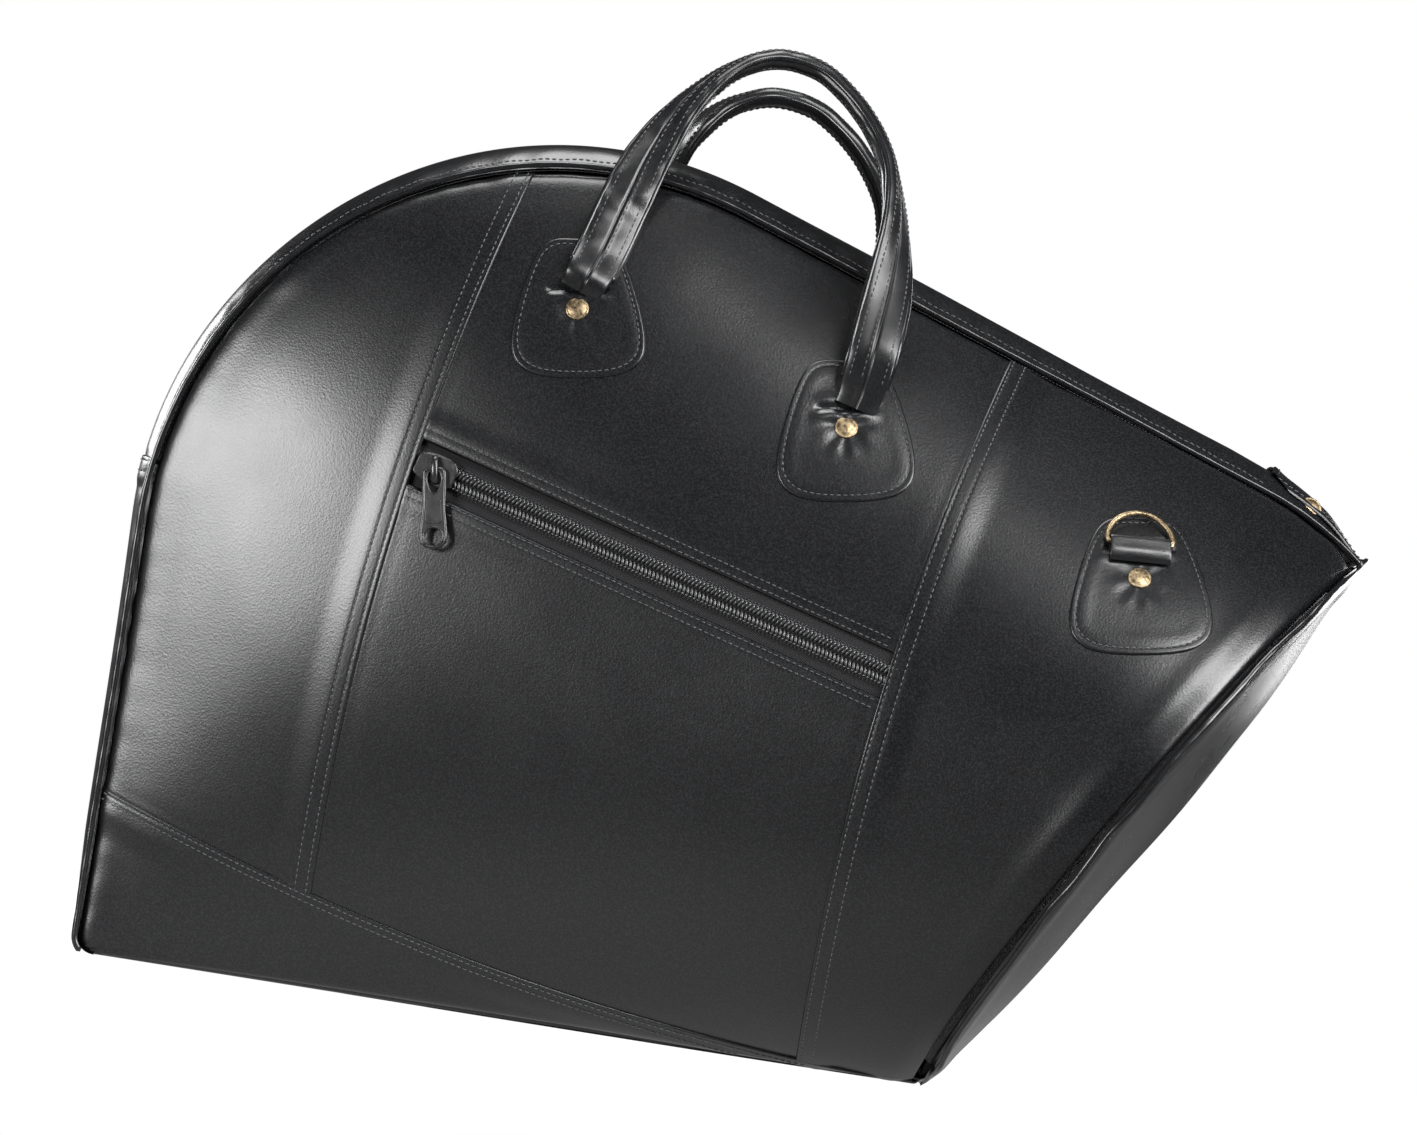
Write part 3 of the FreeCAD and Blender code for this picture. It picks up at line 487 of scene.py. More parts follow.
def tape_material():
    m = Shader("twill_tape", (0.012, 0.012, 0.013), 0.82, specular=0.25)
    weave = m.wave(520)
    weave.node.bands_direction = "DIAGONAL"
    m.colours(weave, (0.2, (0.006, 0.006, 0.0065)), (0.9, (0.022, 0.022, 0.024)))
    m.bumps((weave, 0.5, 0.0003), (m.noise(900), 0.2, 0.0002))
    return m.material


def nylon_material():
    m = Shader("nylon_coil", (0.02, 0.0205, 0.0215), 0.25, specular=0.7)
    m.gloss(m.noise(220), 0.22, 0.42)
    m.bumps((m.noise(700), 0.12, 0.0001))
    return m.material


def enamel_material():
    """Black enamel, thin and greyer where it is rubbed."""
    m = Shader("black_enamel", (0.012, 0.012, 0.013), 0.24, specular=0.55)
    worn = m.noise(160, 6, 0.7)
    m.colours(worn, (0.35, (0.009, 0.009, 0.01)), (0.6, (0.014, 0.014, 0.015)), (0.78, (0.07, 0.068, 0.064)))
    m.gloss(m.noise(90), 0.18, 0.36)
    m.bumps((m.noise(500), 0.08, 0.0001))
    return m.material


def brass_material():
    """Antique brass: tan metal with dark spots and brushed haze."""
    m = Shader("antique_brass", (0.30, 0.235, 0.145), 0.42, metal=1.0)
    spots = m.noise(650, 5, 0.65)
    dark, brown = (0.34, (0.05, 0.036, 0.022)), (0.46, (0.22, 0.165, 0.1))
    m.colours(spots, dark, brown, (0.62, (0.33, 0.255, 0.15)), (0.8, (0.45, 0.37, 0.25)))
    m.gloss(m.noise(320), 0.32, 0.55)
    m.bumps((spots, 0.15, 0.00015))
    return m.material


def foam_material():
    m = Shader("foam", (0.16, 0.16, 0.17), 0.95, specular=0.2)
    cells = m.cells(1100)
    m.colours(cells, (0.1, (0.1, 0.1, 0.105)), (0.7, (0.2, 0.2, 0.21)))
    m.bumps((cells, 0.6, 0.0005))
    return m.material


def cloth_material():
    m = Shader("lining_nylon", (0.05, 0.05, 0.055), 0.8, sheen=0.4)
    m.colours(m.noise(60), (0.3, (0.04, 0.04, 0.045)), (0.7, (0.065, 0.065, 0.072)))
    m.bumps((m.wave(700), 0.4, 0.0002))
    return m.material


THREAD_M, TAPE, NYLON, ENAMEL = thread_material(), tape_material(), nylon_material(), enamel_material()
BRASS, FOAM, CLOTH = brass_material(), foam_material(), cloth_material()


# ------------------------------------------------------------------ leather panels
def waves(p, side):
    """Slow unevenness of padded leather, in mm."""
    x, z = p[:, 0] + 40 * side, p[:, 2]
    w = 0.6 * np.sin(x / 71 + z / 83 + 0.7) + 0.35 * np.sin(x / 43 - z / 49 + 2.1)
    w += 0.1 * np.sin(x / 23 + z / 19 + 0.3)
    w += 0.035 * np.sin(x / 11.7 - z / 15.1 + 1.1) + 0.02 * np.sin(x / 7.9 + z / 9.3)
    return w * smooth(0, 45, z)


def groove(d, rows):
    return sum(-0.1 * bump(d, row, 0.5) for row in rows) if rows else 0.0


def profile(kind, rows, d, s):
    """Height that an edge of a panel adds, by distance from it and length along it."""
    if kind == "lap":
        body = 0.95 * (1 - smooth(8.5, 22, d)) - 1.3 * rolled(d, 0.7)
        return body + groove(d, rows) + 0.05 * np.sin(s / 2.1) * bump(d, 4, 4)
    if kind == "under":
        return -0.45 * (1 - smooth(0, 4, d)) - 0.12 * bump(d, 6, 3)
    if kind == "piped":
        pucker = 0.16 * np.sin(s / 2.7 + np.sin(s / 17)) + 0.1 * np.sin(s / 6.3 + 1)
        body = 0.5 * bump(d, 8, 6) - 2.6 * np.exp(-((d / 2.0) ** 1.5))
        return body + pucker * np.exp(-d / 7) * smooth(0, 2, d)
    if kind == "bell":
        pucker = 0.2 * np.sin(s / 3.4 + np.sin(s / 23)) + 0.12 * np.sin(s / 7.1)
        body = 0.7 * bump(d, 16, 7) - 3.4 * (1 - smooth(-9, 15, d)) - 2.4 * np.exp(-((d / 2.0) ** 1.5))
        return body + pucker * np.exp(-d / 6) * smooth(0, 2, d)
    if kind == "fold":
        return 0.75 * (1 - smooth(8, 18, d)) - 2.4 * rolled(d, 1.5) + groove(d, rows)
    if kind == "hem":
        return -4.0 * rolled(d, 5)
    return 0.0 * d


# Distances from an edge at which a panel has points: dense where it is rolled and grooved.
FIRST_STEPS, GROOVE_STEPS = [0, 0.12, 0.3, 0.5, 0.75, 1.0, 1.4, 1.8, 2.2, 2.7], [3.2, 4, 5, 6, 7, 7.6, 8.2]
EDGE_STEPS = np.array(FIRST_STEPS + GROOVE_STEPS + [9, 10.5, 13, 17])
PLAIN_STEPS = np.array([0, 0.5, 1, 1.6, 2.3, 3.2, 4.5, 6, 8, 11, 15])


def meeting(a, b):
    """Indices at which two dense polylines come closest."""
    d = np.linalg.norm(a[:, None] - b[None], axis=2)
    return np.unravel_index(np.argmin(d), d.shape)


def stations(width, inner, low, high):
    """Shares from 0 to 1: at set distances from both ends, and even between."""
    fit = min(1.0, 0.46 * width / max(low[-1], high[-1]))
    first, last = low * fit / width, 1 - high[::-1] * fit / width
    return np.concatenate([first, np.linspace(first[-1], last[0], inner + 2)[1:-1], last])


LOWEST_STITCH = 1.5


class Panel:
    """A leather panel between four curves of the XZ plane; each edge is (line, kind, stitch rows)."""

    def __init__(self, name, side, left, right, bottom, top, inner, node):
        self.side = side
        edges = {"left": left, "right": right, "bottom": bottom, "top": top}
        kinds = self.kinds = {key: (kind, rows) for key, (_, kind, rows) in edges.items()}
        left, right, bottom, top = (edge[0] for edge in edges.values())
        corners = {}
        for key, a, b in (("lb", left, bottom), ("lt", left, top), ("rb", right, bottom), ("rt", right, top)):
            corners[key] = meeting(a, b)
        cut = lambda line, i, j: resample(line[min(i, j) : max(i, j) + 1][:: 1 if i <= j else -1], 220)
        self.left = cut(left, corners["lb"][0], corners["lt"][0])
        self.right = cut(right, corners["rb"][0], corners["rt"][0])
        self.bottom = cut(bottom, corners["lb"][1], corners["rb"][1])
        self.top = cut(top, corners["lt"][1], corners["rt"][1])
        self.edges = {k: on_surface(getattr(self, k), side) for k in ("left", "right", "bottom", "top")}
        fine = lambda k: EDGE_STEPS if kinds[k][0] in ("lap", "fold") else PLAIN_STEPS
        nu = len(fine("left")) + len(fine("right")) + inner[0]
        nv = len(fine("bottom")) + len(fine("top")) + inner[1]
        t = np.linspace(0, 1, 220)
        at = lambda line, share: np.stack([np.interp(share, t, line[:, k]) for k in (0, 1)], axis=-1)
        v0, u0 = np.linspace(0, 1, nv), np.linspace(0, 1, nu)
        height = np.linalg.norm(at(self.top, u0) - at(self.bottom, u0), axis=1)
        v = np.stack([stations(max(h, 0.3), inner[1], fine("bottom"), fine("top")) for h in height])
        width = np.linalg.norm(at(self.right, v0) - at(self.left, v0), axis=1)
        u = np.stack([stations(max(w, 0.3), inner[0], fine("left"), fine("right")) for w in width], axis=1)
        a, b = self.left[0], self.right[0]
        c, d = self.left[-1], self.right[-1]
        U, V = u[..., None], v[..., None]
        flat = at(self.bottom, u) * (1 - V) + at(self.top, u) * V
        flat += at(self.left, v) * (1 - U) + at(self.right, v) * U
        flat -= (a * (1 - U) + b * U) * (1 - V) + (c * (1 - U) + d * U) * V
        flat = flat.reshape(-1, 2)
        base = on_surface(flat, side)
        normal = grid_normals(base.reshape(nu, nv, 3), side).reshape(-1, 3)
        points = base + normal * self.lift(base)[:, None]
        obj = make(name, points, grid_faces(nu, nv, flip=side > 0), BLACK, slot="black_leather")
        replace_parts(obj, node)

    def lift(self, base):
        total = waves(base, self.side)
        for key, (kind, rows) in self.kinds.items():
            d, s = distance(base, self.edges[key])
            total = total + profile(kind, rows, d, s)
        return total

    def stitches(self, key, rows, trim=4.0):
        """Stitch rows at distances inwards from an edge."""
        line = getattr(self, key)
        turn = -1 if key in ("left", "top") else 1
        parts = []
        for row in rows:
            flat = shifted(line, turn * row)
            solid = on_surface(flat, self.side)
            far = lengths(solid)[-1]
            at = np.arange(trim, far - trim, STITCH)
            centre = along_line(solid, at)
            ahead = heading(solid, at)
            clear = centre[:, 2] > LOWEST_STITCH
            centre, ahead = centre[clear], ahead[clear]
            normal = surface_normal(centre[:, [0, 2]], self.side)
            centre = centre + normal * (self.lift(centre) + 0.16)[:, None]
            parts.append(capsules(centre, ahead, normal, STITCH_LONG, THREAD))
        return parts


PATH = path_point(np.linspace(0, PATH_LENGTH, 1400))
PATH_SIDE = PATH[: int(1400 * SPLIT / PATH_LENGTH) + 1]
PATH_TOP = PATH[int(1400 * SPLIT / PATH_LENGTH) :]
BELL_LINE = bell_edge(np.linspace(0, 1, 600))
COIL_LINE = arc_through(COIL_SEAM)[::-1]
BELL_CUT = arc_through(BELL_SEAM)[::-1]
BASE_LINE = arc_through(BASE_SEAM)
ZIP_ALONG = unit(ZIP_END - ZIP_START)
ZIP_UP = np.array([-ZIP_ALONG[1], ZIP_ALONG[0]])


def zip_line(offset):
    middle = ZIP_START + ZIP_UP * offset
    return middle + ZIP_ALONG * np.linspace(-60, 360, 600)[:, None]


def clamp_low(line):
    return np.column_stack([line[:, 0], np.maximum(line[:, 1], 0.15)])


UNDER = 3.0
base_under = clamp_low(shifted(BASE_LINE, -UNDER))
floor_x = np.linspace(ARC_X - ARC_RADIUS + CORNER_ROUND, BASE_HALF, 600)
floor_line = np.column_stack([floor_x, np.full(600, 0.02)])
LAP_ROWS, BELL_ROWS, BASE_ROWS, FOLD_ROWS = (2.5, 8.0), (2.0, 8.0), (2.0, 5.0), (1.9, 5.9)
ZIP_GAP = 11.0
stitch_parts = []
inner_left, inner_right = shifted(COIL_LINE, UNDER), shifted(BELL_CUT, -UNDER)
end_line = np.column_stack([np.linspace(BASE_HALF - 1.2, BASE_HALF - 1.6, 30), np.linspace(0, 0.6, 30)])
low_edge, top_edge = (base_under, "under", ()), (PATH_TOP, "piped", ())
left_edge, right_edge = (inner_left, "under", ()), (inner_right, "under", ())
for side, name in ((-1, "front"), (1, "back")):
    coil_edges = (PATH_SIDE, "piped", ()), (COIL_LINE, "lap", LAP_ROWS), low_edge, top_edge
    coil = Panel(f"{name}_coil_leather", side, *coil_edges, (34, 60), f"{name}_coil_panel")
    bell_edges = (BELL_CUT, "lap", BELL_ROWS), (BELL_LINE, "bell", ()), low_edge, top_edge
    bell = Panel(f"{name}_bell_leather", side, *bell_edges, (50, 60), f"{name}_bell_panel")
    if side < 0:
        over_zip, under_zip = ((zip_line(at), "fold", FOLD_ROWS) for at in (ZIP_GAP, -ZIP_GAP))
        upper_edges = left_edge, right_edge, over_zip, top_edge
        upper = Panel("front_upper_leather", side, *upper_edges, (60, 40), "front_upper_panel")
        lower_edges = left_edge, right_edge, low_edge, under_zip
        lower = Panel("front_lower_leather", side, *lower_edges, (60, 50), "front_lower_panel")
        stitch_parts += upper.stitches("bottom", FOLD_ROWS, 6) + lower.stitches("top", FOLD_ROWS, 6)
    else:
        centre_edges = left_edge, right_edge, low_edge, top_edge
        Panel("back_centre_leather", side, *centre_edges, (60, 80), "back_centre_panel")
    wrap_edges = (PATH_SIDE, "piped", ()), (end_line, "none", ()), (floor_line, "hem", ())
    wrap = Panel(f"bottom_{name}_leather", side, *wrap_edges, (BASE_LINE, "lap", BASE_ROWS), (70, 14), f"bottom_{name}_wrap")
    stitch_parts += coil.stitches("right", LAP_ROWS) + bell.stitches("left", BELL_ROWS)
    stitch_parts += wrap.stitches("top", BASE_ROWS)
make("panel_stitches", *joined(stitch_parts), THREAD_M, slot="black_leather")


# ------------------------------------------------------------------ gusset
SLOT_ROWS, END_ROWS, SEAM_ROW = (2.2, 6.5), (2.4, 7.4), 4.2


def crown_at(s):
    """Peak height of the gusset's padding, lower beside the tab."""
    stops = [0, 12, 60, 213, 400, 560, 720, CORNER_AT - 25, CORNER_AT, CORNER_AT + 30, PATH_LENGTH]
    return np.interp(s, stops, [0.6, 3.6, 5.2, 7.0, 10.5, 13.0, 12.2, 12.2, 11.2, 8.2, 3.0])


def gusset_height(s, w, plain):
    """Height of the gusset over the seam path, at a distance across it."""
    a, peak = np.abs(w), crown_at(s)
    outer = peak * (1 - np.clip((a - 30) / (GUSSET_HALF - 30), 0, 1) ** 2.6)
    if plain:
        shape = np.where(a > 30, outer, peak)
    else:
        t = np.clip((30 - a) / (30 - SLOT_EDGE), 0, 1)
        shape = np.where(a > 30, outer, peak - (peak - SLOT_RISE) * t**2)
        edge = a - SLOT_EDGE
        shape = shape - 2.6 * rolled(edge, 1.4) + groove(edge, SLOT_ROWS)
    near = GUSSET_HALF - a
    ripple = 0.22 * np.sin(s / 3.1 + 0.8 * np.sin(s / 13)) * bump(near, 5, 4)
    ripple = ripple + 0.35 * np.sin(s / 34) * smooth(0, 20, near)
    return shape + ripple + groove(near, (SEAM_ROW,)) + 0.15


def gusset_points(s, w, lift):
    here, out = path_frame(s)
    flat = here + out * np.asarray(lift)[..., None]
    return np.stack([flat[..., 0], w, flat[..., 1]], axis=-1)


def gusset_sheet(name, start, end, w, plain, ends, node, rows=260):
    s = np.linspace(start, end, rows)
    near = np.array([0, 0.3, 0.7, 1.2, 2, 3, 4, 6])
    s = np.sort(np.unique(np.concatenate([s, start + near, end - near])))
    S, W = np.meshgrid(s, w, indexing="ij")
    lift = gusset_height(S, W, plain)
    if "start" in ends:
        lift = lift - ends["start"](S - start)
    if "end" in ends:
        lift = lift + ends["end"](end - S)
    p = gusset_points(S, W, lift)
    obj = make(name, p.reshape(-1, 3), grid_faces(len(s), len(w)), BLACK, slot="black_leather")
    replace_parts(obj, node)
    return obj


CROSS_AT = ARC_Z + (math.pi - CROSS_SEAM) * ARC_RADIUS
slot_steps = [10, 10.15, 10.4, 10.8, 11.3, 11.9, 12.6, 13.6, 15]
wall_steps = [16, 17.5, 20, 23, 27, 31, 35, 39, 42, 45, 47]
across_half = np.array(slot_steps + wall_steps + [48.5, 49.8, 50.8, 51.6, 52.5, 53.4, 54.2, 54.7, 55])
plain_half = across_half[across_half > 27]
full = np.concatenate([-plain_half[::-1], np.linspace(-15, 15, 12), plain_half])
sink = lambda d: 0.5 * (1 - smooth(0, 8, d))


def lap_end(d):
    """Height that the plain band adds where its end laps over the two bands beside the zip."""
    return 0.9 * (1 - smooth(10, 16, d)) - 1.5 * rolled(d, 0.9) + groove(d, END_ROWS)


gusset_sheet("gusset_plain_leather", 0.0, CROSS_AT, full, True, {"end": lap_end}, "gusset_plain_band")
for name, half in (("front", -across_half[::-1]), ("back", across_half)):
    sheet = f"gusset_{name}_leather", CROSS_AT - 3, PATH_LENGTH, half, False, {"start": sink}
    gusset_sheet(*sheet, f"gusset_{name}_band", 420)


def gusset_row(w, start, end, plain):
    s = np.arange(start, end, STITCH)
    W = np.full(len(s), float(w))
    here = gusset_points(s, W, gusset_height(s, W, plain) + 0.2)
    at = lambda ds, dw: gusset_points(s + ds, W + dw, gusset_height(s + ds, W + dw, plain))
    ahead, aside = at(0.5, 0.0) - at(-0.5, 0.0), at(0.0, 0.4) - at(0.0, -0.4)
    up = unit(np.cross(aside, ahead))
    out = path_frame(s)[1]
    up = up * np.sign(np.sum(up[:, [0, 2]] * out, axis=1, keepdims=True))
    return capsules(here, ahead, up, STITCH_LONG, THREAD)


rows = []
for sign in (-1, 1):
    rows.append(gusset_row(sign * (GUSSET_HALF - SEAM_ROW), 6, CROSS_AT - 2, True))
    rows.append(gusset_row(sign * (GUSSET_HALF - SEAM_ROW), CROSS_AT + 2, CORNER_AT - 2, False))
    rows += [gusset_row(sign * (SLOT_EDGE + d), CROSS_AT + 2, CORNER_AT - 2, False) for d in SLOT_ROWS]
w = np.arange(-48, 48.1, STITCH)
for back in END_ROWS:
    s = np.full(len(w), CROSS_AT - back)
    lift = gusset_height(s, w, True) + lap_end(np.full(len(w), back)) + 0.2
    here = gusset_points(s, w, lift)
    ahead = np.gradient(here, axis=0)
    out = path_frame(s)[1]
    rows.append(capsules(here, ahead, np.stack([out[:, 0], 0 * w, out[:, 1]], axis=1), STITCH_LONG, THREAD))
make("gusset_stitches", *joined(rows), THREAD_M, slot="black_leather")


# ------------------------------------------------------------------ piping
def piping_radius(s):
    return PIPE * (1 + 0.05 * np.sin(s / 4.3) + 0.04 * np.sin(s / 2.1 + 1))


for side, name in ((-1, "front"), (1, "back")):
    s = np.linspace(2.5, PATH_LENGTH, 620)
    here, out = path_frame(s)
    wander = 0.18 * np.sin(s / 23 + side)
    flat = here + out * (PIPE_OUT + wander)[:, None]
    path = np.column_stack([flat[:, 0], np.full(len(s), side * (GUSSET_HALF + PIPE_OUT)), flat[:, 1]])
    cord = tube(f"{name}_piping_cord", path, piping_radius(s), PIPED, slot="piping_leather")
    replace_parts(cord, f"{name}_piping")

MIDDLE = (BELL_BOTTOM + BELL_TOP) / 2


def bell_place(level, out, reach):
    flat = MIDDLE + BELL_UP * (BELL_HALF * level)[..., None] + BELL_OUT * np.asarray(out)[..., None]
    return np.stack([flat[..., 0], np.broadcast_to(reach, flat.shape[:-1]), flat[..., 1]], axis=-1)


def ring_run(side):
    level = np.linspace(-0.93, 0.965, 320)
    share = bell_share(level)
    wavy = 0.5 * np.sin(level * 19) + 0.3 * np.sin(level * 41 + 1)
    reach = GUSSET_HALF + BELL_RISE * share + PIPE_OUT * 0.6
    return bell_place(level, PIPE_OUT + 1.6 - BELL_BOW * share + wavy, side * reach)


def crossing(at_top):
    """Middle of the bell piping's run over the gusset's end, or under the base."""
    y = np.linspace(-40, 40, 9)
    if at_top:
        flat = BELL_TOP + BELL_UP * 3.4 + BELL_OUT * 2.6
        rise = 1.6 * (1 - (y / 50) ** 2)
        return np.column_stack([flat[0] + BELL_UP[0] * rise, y, flat[1] + BELL_UP[1] * rise])
    return np.column_stack([np.full(9, BELL_BOTTOM[0] + 1.0), y, np.full(9, 2.2)])


front_run, back_run = ring_run(-1), ring_run(1)
over, beneath = crossing(True), crossing(False)
loop = np.vstack([front_run[::16], over, back_run[::-16], beneath[::-1]])
loop = spline(np.vstack([loop[-3:], loop, loop[:4]]), 1100)
s_of = lengths(loop)
start = np.argmin(np.linalg.norm(loop[:300] - front_run[0], axis=1))
end = 700 + np.argmin(np.linalg.norm(loop[700:] - front_run[0], axis=1))
ring = tube("bell_piping_cord", loop[start:end], piping_radius(s_of[start:end]), PIPED, 12, True, slot="piping_leather")
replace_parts(ring, "bell_piping")


# ------------------------------------------------------------------ bell end
def cap_point(level, turn, inside=-2.0, shrink=0.4, puff=True):
    share = bell_share(level)
    out = share * (CAP_BULGE * (1 - turn**2) - BELL_BOW * turn**2) - inside
    reach = GUSSET_HALF + BELL_RISE * share - shrink
    if puff:
        edge = np.minimum((1 - np.abs(turn)) * reach, (1 - np.abs(level)) * BELL_HALF)
        run = level * 164
        out = out + 0.7 * np.sin(run / 31 + turn * 2) * smooth(0, 30, edge)
        out = out + 0.3 * np.sin(run / 14 - turn * 5) * smooth(0, 18, edge)
        out = out + 1.6 * bump(edge, 11, 8) - 1.6 * np.exp(-((edge / 2.5) ** 1.5)) + groove(edge, (4.5,))
        out = out + 0.2 * np.sin(run / 2.9) * bump(edge, 4, 3)
    return bell_place(level, out, turn * reach)


def edge_run(half, inner):
    """Stations from -1 to 1, at set distances from both ends."""
    return 2 * stations(2 * half, inner, EDGE_STEPS, EDGE_STEPS) - 1


L, T = np.meshgrid(edge_run(BELL_HALF, 70), edge_run(130, 60), indexing="ij")
cap = make("bell_cap_leather", cap_point(L, T).reshape(-1, 3), grid_faces(*L.shape), BLACK, slot="black_leather")
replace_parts(cap, "bell_cap")
cap_rows = []
for side in (-1, 1):
    level = np.linspace(-0.95, 0.97, 900)
    reach = GUSSET_HALF + BELL_RISE * bell_share(level) - 0.4
    line = cap_point(level, side * (1 - 4.5 / reach))
    at = np.arange(4, lengths(line)[-1] - 4, STITCH)
    out = np.tile([BELL_OUT[0], side * 0.35, BELL_OUT[1]], (len(at), 1))
    cap_rows.append(capsules(along_line(line, at) + out * 0.2, heading(line, at), out, STITCH_LONG, THREAD))
make("bell_cap_stitches", *joined(cap_rows), THREAD_M, slot="black_leather")

# ------------------------------------------------------------------ underside
UNDER_MIDDLE, UNDER_HALF, UNDER_WIDE, UNDER_ROLL = 3.0, 203.5, 54.2, 3.2
U, V = edge_run(212, 40), edge_run(54, 16)
X, Y = np.meshgrid(UNDER_MIDDLE + UNDER_HALF * U, UNDER_WIDE * V, indexing="ij")
rim = np.minimum(UNDER_HALF * (1 - np.abs(U))[:, None], UNDER_WIDE * (1 - np.abs(V))[None, :])
height = UNDER_ROLL * rolled(rim, UNDER_ROLL) + 0.12 * (1 + np.sin(X / 21 + Y / 13)) * smooth(4, 14, rim)
grid = np.stack([X, Y, height], axis=-1).reshape(-1, 3)
under = make("underside_leather", grid, grid_faces(*X.shape, flip=True), BLACK, slot="black_leather")
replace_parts(under, "bottom_panel")


# ------------------------------------------------------------------ patches
def patch_ring(centre, width, height, tilt, count=96):
    """Closed outline of a patch: narrow and round on top, wide below."""
    right = [(0.0, 0.5), (0.3, 0.42), (0.5, -0.18), (0.4, -0.44), (0.0, -0.5)]
    corners = [(-0.3, 0.42)] + right + [(-0.4, -0.44), (-0.5, -0.18)]
    p = np.array(corners[::-1]) * (width, height)
    p = np.vstack([p[-1:], p, p[:2]])
    ring = np.vstack([span(*p[i : i + 4], 20) for i in range(len(p) - 3)])
    ring = np.vstack([ring, ring[:1]])
    ring = resample(ring, count + 1)[:-1]
    turn = np.array([[math.cos(tilt), -math.sin(tilt)], [math.sin(tilt), math.cos(tilt)]])
    return ring @ turn.T + centre


PATCH_LIFT, PATCH_ROW = 1.15, 3.0


def patch_height(flat, d, rivet, slot_at, tilt, ring_like):
    """Height of a patch over the bag: rolled edge, stitch row, slot, rivet dimple and puckers."""
    up = np.array([-math.sin(tilt), math.cos(tilt)])
    aside = np.array([math.cos(tilt), math.sin(tilt)])
    r = flat - rivet
    far = np.linalg.norm(r, axis=1)
    q = flat - slot_at
    a, b = q @ aside, q @ up
    h = PATCH_LIFT - (PATCH_LIFT + 0.25) * rolled(d, 0.9) + 0.12 * bump(d, 7, 3) + groove(d, (PATCH_ROW,))
    angle = np.arctan2(r[:, 0], r[:, 1])
    puckers = np.cos(angle * 7 + 0.6 + 0.8 * np.sin(angle * 2))
    h = h - 0.5 * bump(far, 4.5, 5) + 0.16 * puckers * bump(far, 10, 4.5)
    half = 15.5 if ring_like else 13.0
    mouth = bump(b, 0, 1.5) * (1 - smooth(half - 1, half + 3, np.abs(a)))
    h = h - 1.2 * mouth + 0.9 * bump(b, -4.2, 2.6) * (1 - smooth(half - 4, half + 6, np.abs(a)))
    h = h + 0.5 * bump(b, 4.2, 2.6) * (1 - smooth(half - 4, half + 6, np.abs(a)))
    return h + 0.2 * np.sin(a / 3.1 + 0.7) * bump(b, -6, 4) * bump(a, 0, 14)


def patch(name, side, centre, width, height, tilt, rivet, ring_like):
    """Patch of leather; returns its stitches."""
    centre, rivet = np.array(centre, float), np.array(rivet, float)
    ring = patch_ring(centre, width, height, tilt)
    slot_at = rivet + (15 if ring_like else 9.5) * np.array([-math.sin(tilt), math.cos(tilt)])
    inset = np.array([0, 0.1, 0.25, 0.45, 0.7, 1, 1.5, 2, 2.5, 3, 3.6, 4.5, 6])
    size_of = np.linalg.norm(ring - centre, axis=1).mean()
    shares = np.concatenate([1 - inset / size_of, np.linspace(1 - inset[-1] / size_of, 0, 30)[1:]])
    flat = (centre + (ring - centre)[None] * shares[:, None, None]).reshape(-1, 2)
    d, _ = distance(flat, np.vstack([ring, ring[:1]]))
    d[: len(ring)] = 0
    base = on_surface(flat, side)
    normal = surface_normal(flat, side)
    lift = patch_height(flat, d, rivet, slot_at, tilt, ring_like) + waves(base, side)
    points = base + normal * lift[:, None]
    faces = grid_faces(len(shares), len(ring), wrap=True, flip=side < 0)
    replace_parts(make(f"{name}_leather", points, faces, BLACK, slot="black_leather"), name)
    small = patch_ring(centre, width - 2 * PATCH_ROW, height - 2 * PATCH_ROW, tilt, 400)
    small = np.vstack([small, small[:1]])
    solid = on_surface(small, side)
    count = int(lengths(solid)[-1] / STITCH)
    at = (np.arange(count) + 0.5) * lengths(solid)[-1] / count
    here = along_line(solid, at)
    where = here[:, [0, 2]]
    dd, _ = distance(where, np.vstack([ring, ring[:1]]))
    up = surface_normal(where, side)
    lift = patch_height(where, dd, rivet, slot_at, tilt, ring_like) + waves(here, side) + 0.17
    return capsules(here + up * lift[:, None], heading(solid, at), up, STITCH_LONG, THREAD)


def lathe(rows, sides=40):
    """Points and faces of a turned shape from (radius, height) rows, closed at its first row."""
    a = np.linspace(0, 2 * math.pi, sides, endpoint=False)
    p = [[(r * math.cos(t), r * math.sin(t), h) for t in a] for r, h in rows]
    return np.array(p).reshape(-1, 3), list(grid_faces(len(rows), sides, wrap=True))


def turned_to(points, origin, z_axis, x_hint=(1.0, 0.0, 0.0)):
    z = unit(z_axis)
    x = unit(np.asarray(x_hint, float) - z * (np.asarray(x_hint, float) @ z))
    y = np.cross(z, x)
    return points @ np.stack([x, y, z]) + origin


RIVET_DOME = [(0.02, 1.75), (1.2, 1.72), (2.4, 1.6), (3.5, 1.36), (4.3, 1.05), (4.75, 0.86)]
RIVET_ROWS = RIVET_DOME + [(4.95, 0.9), (5.3, 0.86), (5.6, 0.6), (5.68, 0.25), (5.5, -0.2), (4.6, -0.7)]
SPOTS = [("left", LEFT_PATCH, 64, 68, LEFT_RIVET), ("right", RIGHT_PATCH, 66, 68, RIGHT_RIVET)]
patch_rows, handle_rivets = [], []


def rivet_at(place, side):
    place = np.array([place], float)
    base, up = on_surface(place, side), surface_normal(place, side)[0]
    seat = base[0] + up * (PATCH_LIFT - 0.55 + waves(base, side)[0])
    p, f = lathe(RIVET_ROWS)
    return turned_to(p, seat, up), f


